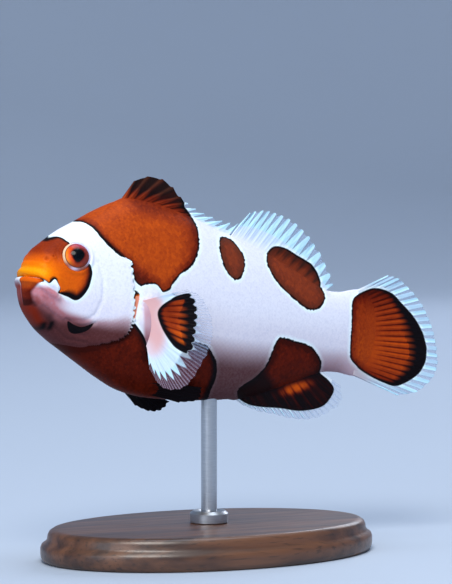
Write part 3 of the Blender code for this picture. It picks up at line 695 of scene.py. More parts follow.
# ---- skin ----
AROUND = 254
NOSE_RINGS, HEAD_RINGS, BODY_RINGS = 44, 172, 150
NOSE_END, HEAD_END, TAIL_FADE = 2.6, 22.5, 3.0
# Steps of the table that finds angles from distances round a ring.
ARC_REACH, ARC_STEP = 60.0, 0.25
# The skin's share of its bake map and the margin round it, and where the end fans' points are put.
MAP_SHARE, MAP_MARGIN, MAP_ENDS = 0.96, 0.02, (0.004, 0.996)
# Relief of the head. Lips, above and below the slit, and rims round the eye: strength, place and width.
LIPS = ((0.34, 0.85, 0.62), (0.50, -0.80, 0.62), (0.10, 2.5, 0.5))
EYE_RIMS = ((0.22, 2.95, 0.30), (-0.08, 3.7, 0.35))
SOCKET_DEPTH, SOCKET_RADIUS, SOCKET_WALL = 1.3, 2.65, 0.30
NOSTRIL_RIM, NOSTRIL_DEPTH, NOSTRIL_WIDTH = 0.13, 0.20, 0.22
SLIT_DEPTH, SLIT_WIDTH = 0.55, 0.20
GILL_STANDS, GILL_SINKS = 0.26, 0.34
# Fleshy shoulder of a breast fin, and the low ridges that the middle fins grow from.
SHOULDER, SHOULDER_SIZE, SHOULDER_STANDS = (22.6, -3.3), (1.9, 4.1), 0.55
BACK_RIDGE, BELLY_RIDGE, RIDGE_STANDS = (16.5, 64.0), (45.0, 64.5), 0.40
HANDS = (("left", 1), ("right", -1))


def millimetres(vectors):
    """Lengths of vectors given in metres."""
    return np.linalg.norm(vectors, axis=-1) / MM


def skin_stations():
    """Places of the skin's rings: closest at the nose, and closer on the head than behind it."""
    nose = SNOUT_TIP + (NOSE_END - SNOUT_TIP) * (np.arange(1, NOSE_RINGS + 1) / NOSE_RINGS) ** 2
    head = np.linspace(NOSE_END, HEAD_END, HEAD_RINGS)[1:]
    rest = np.linspace(HEAD_END, SKIN_END, BODY_RINGS)[1:]
    return np.concatenate([nose, head, rest])


def relief(along, high, side, places):
    """How far the skin stands out from the smooth body, in millimetres: a sum of soft bumps and grooves."""
    # Lips and the slit between them, which end at the corner of the mouth.
    above_slit = high - through(MOUTH, along)
    lips = sum(strength * bump(above_slit - level, width) for strength, level, width in LIPS)
    groove = SLIT_DEPTH * (1.0 - 0.75 * rise(along, 1.1, 0.9)) * bump(above_slit, SLIT_WIDTH)
    out = fall(along, MOUTH_CORNER + 0.9, 1.4) * (lips - groove)
    for depth, width, path in FOLDS:
        out = out + depth * bump(path_distance(path, along, high), width)
    for _, hand in HANDS:
        # Eye sockets with a raised rim, and nostrils.
        from_eye = millimetres(places - surface_at(EYE_ALONG, EYE_HIGH, hand))
        out = out - SOCKET_DEPTH * fall(from_eye, SOCKET_RADIUS, SOCKET_WALL)
        out = out + sum(strength * bump(from_eye - radius, width) for strength, radius, width in EYE_RIMS)
        for where, level, rim in NOSTRILS:
            from_nostril = millimetres(places - surface_at(where, level, hand))
            out = out + NOSTRIL_RIM * bump(from_nostril - rim * 0.8, rim * 0.4)
            out = out - NOSTRIL_DEPTH * bump(from_nostril, NOSTRIL_WIDTH)
    # The gill cover's edge stands over the skin behind it.
    past = past_gill_edge(along, high)
    step = np.where(past < 0, GILL_STANDS * rise(past, -7.0, 6.0), -GILL_SINKS * fall(past, 2.6, 2.6))
    out = out + rise(high, GILL_LOW, 2.0) * fall(high, GILL_HIGH + 1.5, 2.5) * step
    out = out + SHOULDER_STANDS * bump(out_from(SHOULDER, SHOULDER_SIZE, along, high) ** 1.5, 1.0)
    for (start, end), here in ((BACK_RIDGE, high > 0), (BELLY_RIDGE, high < 0)):
        out = out + RIDGE_STANDS * bump(side, 0.9) * rise(along, start, 2.0) * fall(along, end, 2.0) * here
    return out


class Skin:
    """The relief surface on a grid of rings and angles, and ways to find places on it."""

    def __init__(self):
        """The smooth body pushed out along its normals by the relief, less the depth it is sunk."""
        self.along = skin_stations()
        self.angle = np.linspace(-math.pi, math.pi, AROUND + 1)
        self.full_along = self.along[:, None] + 0.0 * self.angle[None, :]
        self.high, self.side = section(self.full_along, self.angle[None, :])
        smooth = placed(self.full_along, self.high, self.side)
        self.out = self.normals(smooth)
        depth = relief(self.full_along, self.high, self.side, smooth) - SKIN_UNDER
        depth = depth * fall(self.full_along, SKIN_END, TAIL_FADE)
        self.places = smooth + self.out * depth[..., None] * MM
        step = millimetres(np.diff(smooth, axis=1))
        self.arc = np.concatenate([np.zeros((len(self.along), 1)), np.cumsum(step, 1)], 1)
        self.mid_side = int(round(0.75 * AROUND))
        self.above = self.arc[:, self.mid_side] - self.arc[:, AROUND // 2]
        self.below = self.arc[:, -1] - self.arc[:, self.mid_side]

    @staticmethod
    def normals(places):
        """Outward directions: the cross product of the steps round a ring and from ring to ring."""
        wrapped = np.concatenate([places[:, -2:-1], places, places[:, 1:2]], 1)
        return unit(np.cross(wrapped[:, 2:] - wrapped[:, :-2], np.gradient(places, axis=0)))

    def row_of(self, along):
        """Place along the body counted in rings."""
        return np.interp(along, self.along, np.arange(len(self.along)))

    def angle_of(self, along, arc):
        """Angle of a place on the left, given by its distance up from the mid-side line round the ring."""
        reach = np.arange(-ARC_REACH, ARC_REACH, ARC_STEP)
        table = [np.interp(-reach, row[AROUND // 2:] - row[self.mid_side], self.angle[AROUND // 2:])
                 for row in self.arc]
        column = (arc + ARC_REACH) / ARC_STEP
        return self.blend(np.array(table)[..., None], self.row_of(along), column)[..., 0]

    @staticmethod
    def blend(table, row, column):
        """Straight-line blend of a table's four entries round each fractional place."""
        r = np.clip(row, 0, table.shape[0] - 1.001)
        c = np.clip(column, 0, table.shape[1] - 1.001)
        i, j = r.astype(int), c.astype(int)
        a, b = (r - i)[..., None], (c - j)[..., None]
        return ((table[i, j] * (1 - a) + table[i + 1, j] * a) * (1 - b)
                + (table[i, j + 1] * (1 - a) + table[i + 1, j + 1] * a) * b)

    def at(self, along, angle, lift):
        """Places on the relief, lifted by millimetres."""
        row, column = self.row_of(along), (angle + math.pi) / (2.0 * math.pi) * AROUND
        places = self.blend(self.places, row, column)
        return places + unit(self.blend(self.out, row, column)) * lift[..., None] * MM


def on_bake_map(along, angle):
    """Places on the bake map, which unrolls the skin: along it one way, round it the other."""
    u, v = along / SKIN_END * MAP_SHARE + MAP_MARGIN, angle / math.pi * MAP_SHARE / 2 + 0.5
    return np.stack(np.broadcast_arrays(u, v), -1)


def build_skin(look):
    """One closed skin over head, jaw, gill covers, trunk and tail stalk."""
    skin = Skin()
    rings = len(skin.along)
    snout = placed(SNOUT_TIP, outline(SNOUT_TIP)[3], 0.0)
    snout = snout + (snout - skin.places[0, :-1].mean(0)) * 0.2
    tips = [snout, skin.places[-1, :-1].mean(0)]
    places = np.concatenate([skin.places[:, :-1].reshape(-1, 3), tips])
    faces = sum((part.tolist() for part in closed_faces(rings, AROUND)), [])
    flat = on_bake_map(skin.full_along, skin.angle[None, :]).reshape(-1, 2)
    share = (np.arange(AROUND) + 0.5) / AROUND * MAP_SHARE + MAP_MARGIN
    nose, tail = (np.stack([np.full(AROUND, u), share], -1) for u in MAP_ENDS)
    corners = (flat[grid_quads(rings, AROUND + 1)],
               np.stack([nose, flat[1:AROUND + 1], flat[:AROUND]], 1),
               np.stack([flat[-AROUND - 1:-1], flat[-AROUND:], tail], 1))
    values = {key: np.append(value[:, :-1].ravel(), (value[0, 0], value[-1, 0]))
              for key, value in markings(skin.full_along, skin.high, skin.side).items()}
    values["tint"] = 0.5
    solids = ("head", "lower_jaw", "gill_cover_left", "gill_cover_right", "trunk", "tail_stalk")
    make_piece("skin", places, faces, look, solids, values,
               np.concatenate([part.reshape(-1, 2) for part in corners]))
    return skin


# ---- scales ----
# Width of the scales at places along the body, and the plate's own shape.
SCALE_WIDTH = ((8, 0.58), (14, 0.68), (19, 0.78), (30, 0.94), (45, 0.90), (60, 0.78), (74, 0.66))
SCALES_FROM, SCALES_TO, MOST_ROWS = 9.4, 71.6, 80
COLUMN_STEP, SCALE_LENGTH, SCALE_SPREAD = 0.52, 1.50, 1.18
SCALE_P = np.array([0.0, 0.45, 0.80, 1.0])
SCALE_Q = np.array([-1.0, -0.6, 0.0, 0.6, 1.0])
ROOT_SINK, TIP_LIFT, PLATE_THICK = -0.036, 0.044, 0.036
# How unevenly the scales are set, across and along, and how far their tips stand out.
ACROSS_JITTER, ALONG_JITTER, TIP_JITTER = 0.06, 0.07, (0.7, 1.25)
# How much of a plate's own shape its colours follow.
SEEN_SHARE = 0.70
PATCH_SIZE = 0.003
# Where the skin is bare: distances from the eye and the gill edge, the fin's shoulder, and the jaw.
BARE_BY_EYE, BARE_AT_GILL, BARE_SHOULDER = 3.7, (-0.9, 1.0), ((22.8, -3.3), (2.0, 4.2))
JAW_REAR, JAW_TOP = 13.5, -4.4
SCALE_PARTS = (("head", 0.0, 19.0), ("shoulder", 19.0, 31.0), ("flank", 31.0, 45.0), ("stalk", 45.0, 80.0))


def scale_roots(skin):
    """(along, arc, width) of every scale's middle on one side: rows that follow the mid-side line, set
    brick-like, in columns spaced by the scales' own width."""
    columns, place = [], SCALES_FROM
    while place < SCALES_TO:
        columns.append(place)
        place += COLUMN_STEP * float(through(SCALE_WIDTH, place))
    along = np.array(columns)[:, None]
    width = through(SCALE_WIDTH, along)
    rows = np.arange(-MOST_ROWS, MOST_ROWS + 1)[None, :]
    arc = (rows + 0.5 * (np.arange(len(along)) % 2)[:, None]) * width
    above, below = (np.interp(along, skin.along, limit) for limit in (skin.above, skin.below))
    kept = (arc < above - 0.2) & (arc > 0.1 - below)
    return tuple(np.broadcast_to(value, arc.shape)[kept] for value in (along, arc, width))


def is_scaled(along, high, middle):
    """Whether places have scales: none by the eye, the gill edge or a breast fin, nor on snout and jaw."""
    past = past_gill_edge(along, high)
    at_gill = (high > GILL_LOW - 0.5) & (high < GILL_HIGH + 0.5)
    at_gill = at_gill & (past > BARE_AT_GILL[0]) & (past < BARE_AT_GILL[1])
    on_shoulder = out_from(*BARE_SHOULDER, along, high) < 1.0
    on_snout = inside_outline(PATCHES["mask"], along, high)[0] > -0.5
    on_jaw = (along < JAW_REAR) & (high < JAW_TOP)
    by_eye = millimetres(middle - surface_at(EYE_ALONG, EYE_HIGH, 1)) <= BARE_BY_EYE
    return ~(by_eye | at_gill | on_shoulder | on_snout | on_jaw)


def build_scales(skin, look):
    """Scales as thin closed plates, sunk at the root and free at the rounded rear edge, left and right."""
    rng = np.random.default_rng(11)
    along, arc, width = scale_roots(skin)
    angle = skin.angle_of(along, arc)
    kept = is_scaled(along, section(along, angle)[0], skin.at(along, angle, 0.0 * along))
    count = int(kept.sum())
    arc = arc[kept] + rng.normal(0.0, ACROSS_JITTER, count)
    along = along[kept] + rng.normal(0.0, ALONG_JITTER, count)
    tint, free = rng.random(count)[:, None, None], rng.uniform(*TIP_JITTER, count)[:, None, None]
    root_along, root_arc, size = along[:, None, None], arc[:, None, None], width[kept][:, None, None]
    p, q = SCALE_P[None, :, None], SCALE_Q[None, None, :]
    back = size * SCALE_LENGTH * (p * (1.0 - 0.34 * q * q) - 0.42)
    across = size * SCALE_SPREAD * 0.5 * q * (0.78 + 0.22 * np.sin(math.pi * p * 0.8))
    lift = ROOT_SINK + (TIP_LIFT * free - ROOT_SINK) * p - 0.03 * q * q
    lift = lift * (0.45 + 0.55 * rise(root_along, 14.0, 6.0))
    plate_along = root_along + back
    plate_angle = skin.angle_of(plate_along, root_arc + across)
    # Colours step from scale to scale: each plate takes them mostly from its own middle.
    seen_along = root_along + 0.12 * size + SEEN_SHARE * back
    seen_angle = skin.angle_of(seen_along, root_arc + SEEN_SHARE * across)
    guides = markings(seen_along, section(seen_along, seen_angle)[0])
    guides["tint"] = tint + 0.0 * seen_along
    plate = slab_faces(len(SCALE_P), len(SCALE_Q))
    corner_q, corner_p = np.meshgrid(SCALE_Q / 2.0, SCALE_P - 0.5)
    spot = np.tile(np.stack([corner_p, corner_q], -1).reshape(-1, 2), (2, 1))[plate]
    for word, hand in HANDS:
        # The right side is the mirror image, so its faces are turned round.
        faces, corners = plate[:, ::hand], spot[:, ::hand]
        both = np.stack([skin.at(plate_along, hand * plate_angle, height)
                         for height in (lift, lift - PLATE_THICK)], 1).reshape(count, -1, 3)
        root = on_bake_map(along, hand * skin.angle_of(along, arc))
        for part, start, end in SCALE_PARTS:
            mine = (along >= start) & (along < end)
            first = (np.arange(mine.sum()) * both.shape[1])[:, None, None]
            bake_map = root[mine][:, None, None, :] + corners[None] * PATCH_SIZE
            values = {key: np.stack([value[mine]] * 2, 1).ravel() for key, value in guides.items()}
            make_piece(f"scales_{part}_{word}", both[mine].reshape(-1, 3),
                       (faces[None] + first).reshape(-1, 4), look, (), values, bake_map, True)


# ---- eyes ----
EYE_RINGS, EYE_AROUND = 39, 64
CORNEA_RISE, CORNEA_WIDTH = 0.16, 1.5
EYE_LOOKS_FORWARD = 0.05
PUPIL, IRIS = 1.16, 2.24


def eye_look():
    """Black pupil, an iris golden orange in front, maroon behind and magenta above, and a pale ring."""
    look = Look("wet eye", Roughness=0.2, Coat_Weight=0.15, Coat_Roughness=0.04, IOR=1.33,
                Specular_IOR_Level=0.15)
    ring, pupil, turn, lift = (look.read(key) for key in ("ring", "pupil", "turn", "lift"))
    grain = look.noise(1500.0, 3.0) - 0.5
    iris = look.mix(look.step(turn + grain * 0.7, -0.70, 0.30), paint(236, 84, 22), paint(124, 46, 40))
    gold = look.step(0.0 - turn, 0.30, 0.75) * look.step(ring + grain * 0.4, 1.55, 2.0)
    iris = look.mix(gold * 0.75, iris, paint(248, 146, 34))
    iris = look.mix(look.step(lift + grain * 0.3, 0.42, 0.72) * 0.8, iris, paint(176, 66, 92))
    iris = look.mix(look.step(0.0 - lift, 0.35, 0.75) * 0.7, iris, paint(122, 46, 22))
    iris = look.mix(look.step(pupil + grain * 0.3, PUPIL, PUPIL + 0.50), paint(92, 20, 14), iris)
    outside_pupil = look.step(pupil + grain * 0.10, PUPIL - 0.06, PUPIL + 0.12)
    colour = look.mix(outside_pupil, paint(5, 8, 14), iris)
    colour = look.mix(look.step(ring, IRIS - 0.12, IRIS - 0.04), colour, paint(84, 40, 28))
    pale = look.mix(look.step(turn, -0.45, 0.35), paint(238, 206, 168), paint(214, 204, 232))
    pale = look.mix(look.step(0.0 - lift, 0.30, 0.70), pale, paint(176, 110, 92))
    pale = look.mix(look.read("fleck"), pale, paint(226, 220, 246))
    look.feed(Base_Color=look.mix(look.step(ring, IRIS - 0.02, IRIS + 0.06), colour, pale))
    return look.material


def build_eyes(look):
    """Each eye is a flattened ball with a slightly raised cornea: radius times sine, depth times cosine."""
    t = np.linspace(0.0, math.pi, EYE_RINGS + 2)[1:-1, None]
    turn = (np.arange(EYE_AROUND) * 2.0 * math.pi / EYE_AROUND)[None, :]
    radius = EYE_RADIUS * np.sin(t) + 0.0 * turn
    depth = EYE_HALF_DEPTH * np.cos(t) + CORNEA_RISE * bump(radius, CORNEA_WIDTH) * (np.cos(t) > 0)
    ball = np.stack([radius * np.cos(turn), radius * np.sin(turn), depth], -1).reshape(-1, 3)
    ball = np.concatenate([ball, [(0, 0, EYE_HALF_DEPTH + CORNEA_RISE), (0, 0, -EYE_HALF_DEPTH)]])
    faces = sum((part[:, ::-1].tolist() for part in closed_faces(EYE_RINGS, EYE_AROUND)), [])
    ahead, above = ball[:, 0] + EYE_LOOKS_FORWARD, ball[:, 1]
    below = np.clip(-above, 0.0, None)
    values = {"ring": np.where(ball[:, 2] > 0, np.hypot(ahead, above), 3.0),
              "pupil": np.hypot(ahead * (1.0 + 0.28 * below), above * np.where(above < 0, 0.86, 1.06)),
              "turn": (ahead * 0.9 + above * 0.35) / EYE_RADIUS, "lift": above / EYE_RADIUS,
              "fleck": bump(np.hypot((ahead + 0.35) / 0.75, (above + 2.45) / 0.35), 1.0)}
    for word, hand in HANDS:
        back, up = (surface_at(EYE_ALONG + a, EYE_HIGH + h, hand)
                    - surface_at(EYE_ALONG - a, EYE_HIGH - h, hand) for a, h in ((0.5, 0.0), (0.0, 0.5)))
        back, up = unit(back), unit(up)
        out = unit(np.cross(back, up)) * hand
        middle = surface_at(EYE_ALONG, EYE_HIGH, hand) - out * EYE_SUNK * MM
        places = middle + ball @ np.stack([back, np.cross(out, back), out]) * MM
        make_piece(f"eyeball_{word}", places, faces, look, (f"eye_{word}",), values)


# ---- fins ----
DORSAL_SPINES = 12
DORSAL_SPINE_TIPS = ((0, 19.9, 22.2, 0), (0.08, 22.2, 23.4, 0), (0.16, 24.8, 23.6, 0), (0.25, 27.3, 22.7, 0),
                     (0.35, 29.4, 21.0, 0), (0.45, 31.2, 20.0, 0), (0.55, 33.2, 19.1, 0),
                     (0.7, 36.2, 18.3, 0), (0.85, 39.4, 17.7, 0), (1, 42.2, 17.8, 0))
DORSAL_RAY_TIPS = ((0, 44.2, 20.1, 0), (0.15, 47.0, 21.0, 0), (0.3, 50.0, 20.9, 0), (0.45, 53.4, 20.1, 0),
                   (0.6, 56.9, 18.2, 0), (0.75, 60.3, 15.5, 0), (0.9, 63.3, 11.6, 0), (1, 64.9, 8.9, 0))
ANAL_TIPS = ((0, 48.8, -15.9, 0), (0.15, 52.2, -16.6, 0), (0.3, 55.6, -16.8, 0), (0.45, 59.0, -17.2, 0),
             (0.6, 62.5, -17.0, 0), (0.75, 65.8, -15.7, 0), (0.88, 68.4, -13.4, 0), (1, 68.0, -10.2, 0))
TAIL_ROOT = ((0, 70.3, 8.2, 0), (0.5, 70.3, 0.0, 0), (1, 70.3, -8.0, 0))
TAIL_TIPS = ((0, 77.0, 11.4, 0), (0.1, 79.6, 10.8, 0), (0.2, 82.3, 8.8, 0), (0.3, 84.6, 6.4, 0),
             (0.4, 86.5, 3.6, 0), (0.5, 87.9, 0.5, 0), (0.6, 88.8, -2.7, 0), (0.7, 89.2, -5.7, 0),
             (0.8, 87.9, -8.6, 0), (0.9, 84.9, -10.9, 0), (1, 80.5, -11.8, 0))
BREAST_TIPS = ((0, 28.0, 3.7, 12.6), (0.1, 30.4, 2.8, 13.4), (0.2, 32.1, 0.5, 13.8), (0.3, 33.1, -2.1, 13.9),
               (0.4, 33.3, -4.8, 13.8), (0.5, 32.9, -7.6, 13.4), (0.6, 32.0, -10.8, 12.6),
               (0.7, 30.6, -13.6, 11.7), (0.8, 28.6, -14.7, 11.0), (0.9, 26.4, -14.3, 10.3),
               (1, 24.2, -11.6, 9.5))
BREAST_ROOT = ((20.9, 0.2), (23.9, -6.6))
BELLY_ROOT = ((24.2, 1.5), (24.8, 4.4))
BELLY_TIPS = {
    1: ((0, 33.6, -16.9, 3.6), (0.5, 37.0, -15.8, 5.0), (1, 36.6, -13.6, 6.2)),
    -1: ((0, 28.2, -18.7, 3.4), (0.35, 31.4, -19.4, 4.0), (0.7, 34.4, -18.9, 4.8), (1, 36.0, -17.2, 5.6)),
}
# How deep the roots of the paired and of the middle fins are sunk in the body.
SEATED, RIDGE_SEATED = 1.0, 0.5
# The spot on the breast fin, as (u across, v out, width of its black edge).
BREAST_SPOT = ((0.20, 0.28, 0.6), (0.13, 0.38, 0.5), (0.08, 0.54, 0.5), (0.035, 0.74, 0.8),
               (0.03, 0.92, 1.9), (0.10, 0.885, 2.5), (0.17, 0.85, 2.5), (0.24, 0.81, 2.4),
               (0.32, 0.78, 2.2), (0.40, 0.77, 2.0), (0.48, 0.79, 2.1), (0.545, 0.77, 2.2),
               (0.56, 0.66, 1.9), (0.56, 0.54, 1.4), (0.52, 0.40, 1.0), (0.44, 0.30, 0.8),
               (0.30, 0.25, 0.7))
# Columns of the mesh from ray to ray, rows from root to edge, and how the rows crowd towards the edge.
CELL, FIN_ROWS, CROWDING = 14, 60, 1.25
EDGE_HALF, RIB_WIDTH = 0.09, 0.13
# How far soft and spiny fins sway and how high their ribs stand, and the most that an edge is cut back.
SWAY, SPINY_SWAY, RIB_HIGH, SPINE_HIGH = 0.16, 0.064, 0.09, 0.15
DEEPEST_CUT = 0.6
ANAL_FLAME = (58.8, -11.3)


def curve_of(stations):
    """Function of the share u that gives (along, high, side) columns, from stations with u in front."""
    table = np.array(stations, float)
    return lambda u: np.stack([through(table[:, (0, k)], u) for k in (1, 2, 3)], 1)


def ridge(start, end, top, lean=0.0):
    """Root line of a middle fin, sunk in the back or the belly; `lean` brings its middle forward."""
    def root(u):
        """Columns of (along, high, side) at the shares u, along the body's top or bottom."""
        along = start + (end - start) * (u - lean * np.sin(math.pi * u))
        high = outline(along)[0] - RIDGE_SEATED if top else outline(along)[1] + RIDGE_SEATED
        return np.stack([along, high, 0.0 * along], 1)
    return root


@dataclass(frozen=True)
class Margin:
    """How a fin's clear margin is barred.

    Bars start at the share `start` of the way out, `count` to a ray and moved on by `phase` of their
    pitch. They narrow from `wide` to `narrow` (halves of a bar's share of its pitch) over `length` of
    the margin. Thin lines of strength `line`, `lines` to a ray, run between them. `dim` is how much
    fainter every second bar is, `film` how clear the gaps are, `notch` how far the edge is cut back in
    millimetres, `lobes` and `fingers` how far the black edge of a patch is cut in from outside and
    inside between the rays. Ribs and gaps start at the share `plain`, and `ends` is how much nearer
    the root the margin starts on the outermost rays.
    """
    start: float = 0.5
    count: int = 1
    phase: float = 0.0
    wide: float = 0.52
    narrow: float = 0.14
    length: float = 1.0
    line: float = 0.4
    lines: int = 2
    dim: float = 0.0
    film: float = 0.75
    notch: float = 0.4
    lobes: float = 0.0
    fingers: float = 0.5
    plain: float = 0.0
    ends: float = 0.0


def fin_sheet(rays, root, tip, bow, notch, spiny, seed):
    """Middle sheet of a fin: straight lines from a root curve to a tip curve, cut back between the rays.

    A soft fin is cut back most midway between two rays; a spiny one falls from each spine's tip towards
    the next, which starts low. Returns u, v, the place counted in rays, and the sheet.
    """
    rng = np.random.default_rng(seed)
    u = np.linspace(0.0, 1.0, (rays - 1) * CELL + 1)
    v = (1.0 - (1.0 - np.linspace(0.0, 1.0, FIN_ROWS)) ** CROWDING)[:, None]
    cell = u * (rays - 1)
    start, end = root(u), tip(u)
    if spiny:
        behind = np.clip(cell - np.floor(cell + 1e-9), 0.0, 1.0)
        cut = notch * (0.3 + 0.7 * rise(u, 0.35, 0.25)) * behind ** 0.8 * fall(behind, 1.02, 0.15)
    else:
        uneven = np.interp(cell, np.arange(rays), rng.uniform(0.7, 1.3, rays))
        cut = notch * uneven * (0.5 - 0.5 * np.cos(2.0 * math.pi * cell))
    cut = np.minimum(cut / np.linalg.norm(end - start, axis=1), DEEPEST_CUT)
    sheet = start + (end - start) * (v * (1.0 - cut * v ** 2))[..., None]
    sheet[..., 2] += np.sign(sheet[..., 2]) * bow * np.sin(math.pi * u) * v
    sway = np.interp(cell, np.arange(rays), rng.normal(0.0, 1.0, rays))
    sheet[..., 2] += (SPINY_SWAY if spiny else SWAY) * sway * v ** 2
    return u, v, cell, sheet


def bars(cell, share, margin):
    """Broad bars and thin lines over a margin, each from 0 to 1; `share` is how far across it a place is."""
    place = cell * margin.count + margin.phase
    half = margin.wide + (margin.narrow - margin.wide) * np.clip(share / margin.length, 0.0, 1.0)
    broad = smooth_step((half - np.abs(place - np.round(place))) / 0.12 + 0.5) * (half > 0.02)
    broad = broad * (1.0 - margin.dim * (np.round(place) % 2))
    fine = np.abs(cell * margin.lines - np.round(cell * margin.lines))
    return broad, margin.line * bump(fine, 0.19) * rise(share, 0.1, 0.3)


def build_fin(name, look, rays, root, tip, thick, guides, margin, replaces, bow=0.0, spiny=False, seed=1):
    """A fin as a thin closed slab with a rib on each ray, splitting in two towards the margin.

    `guides` takes (along, high, u, v) and returns the colours' guides.
    """
    u, v, cell, sheet = fin_sheet(rays, root, tip, bow, margin.notch, spiny, seed)
    along, high, side = np.moveaxis(sheet, -1, 0)
    middle = placed(along, high, side)
    across = unit(np.cross(np.gradient(middle, axis=1), np.gradient(middle, axis=0)))
    flat = unit(across.mean((0, 1)))
    across = unit(across * 0.35 + flat * np.sign((across * flat).sum(-1, keepdims=True)))
    x = cell - np.round(cell)
    shown = rise(v, margin.plain, 0.3)
    split = 0.0 if spiny else 0.25 * rise(v, 0.45, 0.4)
    rib = np.maximum(bump(x - split, RIB_WIDTH), bump(x + split, RIB_WIDTH)) * shown
    half = EDGE_HALF + (thick / 2 - EDGE_HALF) * (1.0 - v) ** 1.8
    half = half + (SPINE_HIGH if spiny else RIB_HIGH) * rib * (1.0 - 0.5 * v)
    lift = across * half[..., None] * MM
    values = guides(along, high, u[None] + 0 * v, v + 0 * u[None])
    between = bump(np.abs(x) - 0.5, 0.2)
    inside = values["inside"] = values["inside"] - margin.lobes * between * rise(v, 0.5, 0.2)
    values["edge"] = values["edge"] * (1.0 + margin.fingers * between * (values["edge"] > 0.45))
    end_rays = margin.ends * fall(np.minimum(u, 1.0 - u), 0.09, 0.06)
    begin = margin.start - (margin.start - 0.15) * end_rays
    share = np.clip((v - begin) / np.maximum(1.0 - begin, 0.05), 0.0, 1.0)
    broad, fine = bars(cell, share, margin)
    outwards = rise(share, 0.0, 0.12 + 0.5 * end_rays)
    pale = np.maximum(broad, fine) * values.pop("barred", 1.0)
    clear = values.pop("film", margin.film) * outwards * (1.0 - pale) * fall(inside, 0.06, 0.16)
    streak = np.random.default_rng(seed + 40).random(rays * 5)
    streak = 0.5 + (np.interp(cell * 5, np.arange(rays * 5), streak) - 0.5) * shown
    values.update(clear=clear, pale=pale * outwards, root=fall(v, 0.45, 0.45), rib=rib, streak=streak,
                  tinted=values["wine"] * (1.0 - broad * fall(share, 0.65, 0.2)),
                  gap=bump(np.abs(x) - 0.5, 0.12) * shown)
    values = {key: np.tile(np.broadcast_to(value, half.shape).ravel(), 2) for key, value in values.items()}
    places = np.stack([middle + lift, middle - lift]).reshape(-1, 3)
    make_piece(name, places, slab_faces(*half.shape), look, replaces, values)


def fin_look():
    """Fins: orange with dark lines between the rays, black-edged, and a clear margin barred with white."""
    look = Look("ribbed fin", **SHEEN)
    inside, patch, black = in_patch(look, 0.10)
    gap, rib, dusk, clear, blush, wine, fire = (
        look.read(key) for key in ("gap", "rib", "dusk", "clear", "blush", "wine", "fire"))
    noise = look.noise(1500.0, 2.0)
    grain, streak = noise - 0.5, look.read("streak") - 0.5
    white = look.mix(look.read("root"), paint(208, 228, 248), WHITE)
    white = look.mix(blush, white, paint(226, 164, 158))
    lines = gap * 0.30 * (1.0 - blush) + streak * 0.5 + grain * 0.2
    white = look.mix(lines, white, paint(150, 172, 204))
    bar = look.mix(look.read("tinted"), paint(192, 234, 250), paint(146, 84, 112))
    white = look.mix(look.read("pale"), white, bar)
    # A painted bluish-white sheen just outside the patches' black edges.
    white = look.mix(look.step(inside, -0.8, -0.1) * 0.7 * (1.0 - blush), white, EDGE_SHEEN_WHITE)
    # Painted shade under the tail stalk, carried onto the tail fin's lower root.
    white = look.mix(look.read("gloom"), white, paint(100, 78, 80))
    white = look.mix(clear * 1.3, white, look.mix(wine, paint(166, 184, 216), paint(100, 40, 60)))
    # The ribs are a touch lighter: a painted highlight on the raised rays.
    warm = look.ramp(fire - 0.30 * gap + 0.03 * rib + grain * 0.12 + streak * 0.10, ORANGES)
    warm = look.mix(look.read("veil"), warm, DULL)
    sooty = look.mix(rib * 0.22 + streak * 0.4, SOOT, look.ramp(fire, ORANGES))
    warm = look.mix(dusk, warm, sooty)
    warm = look.mix(black, warm, SOOT)
    look.feed(Base_Color=look.mix(patch, white, warm), Alpha=1.0 - clear, Roughness=0.40 + 0.16 * noise)
    look.rough_up(noise, 0.00004, 0.4)
    return look.material


def plain_guides(along, high):
    """The body's markings carried onto a middle fin."""
    values = markings(along, high)
    values.update(blush=values["blush"] * 0.35, dusk=0.0, wine=0.0)
    return values


def dorsal_guides(along, high, u, _v):
    """Front dorsal fin: black wedges between brown rays, pointed at the back and merging above it."""
    values = plain_guides(along, high)
    above = high - outline(along)[0]
    ray = u * (DORSAL_SPINES - 1)
    from_ray = np.abs(ray - np.round(ray)) * 2.0
    values["dusk"] = (0.90 - 0.34 * fall(from_ray, 0.5, 0.5)) * rise(above, 1.7 * (1.0 - from_ray), 1.3)
    values["fire"] = values["fire"] - 0.16 * rise(above, 0.0, 3.0)
    values["veil"] = np.maximum(values["veil"], 0.45 * rise(above, 0.6, 3.0))
    return values


def rear_dorsal_guides(along, high, _u, _v):
    """Rear dorsal fin: the spot's upper half is darker than the half on the body."""
    values = plain_guides(along, high)
    values["dusk"] = 0.50 * rise(high - outline(along)[0], -0.6, 3.0)
    return values


def anal_guides(along, high, u, _v):
    """Anal fin: near black, with one slanting orange flame near its root; its margin clears to the rear."""
    values = plain_guides(along, high)
    ahead, above = along - ANAL_FLAME[0], high - ANAL_FLAME[1]
    flame = np.hypot((0.93 * ahead + 0.37 * above) / 3.4, (0.93 * above - 0.37 * ahead) / 1.15)
    flame = bump(flame ** 1.5, 1.0)
    fire = values["fire"] * 0.8 + 0.42 * flame * rise(along, 52.5, 5.0)
    rear = rise(u, 0.5, 0.25)
    values.update(soot=0.0, dusk=0.97 * (1.0 - flame), fire=fire, barred=1.0 - 0.75 * rear,
                  film=0.80 + 0.10 * rear)
    return values


def tail_guides(along, high, _u, _v):
    """Tail fin: as the body, with the painted shade under the stalk carried onto its lower root."""
    values = plain_guides(along, high)
    values["gloom"] = 1.6 * blush_and_painted_shade(along, high)[1] * fall(along, 77.5, 6.0)
    return values


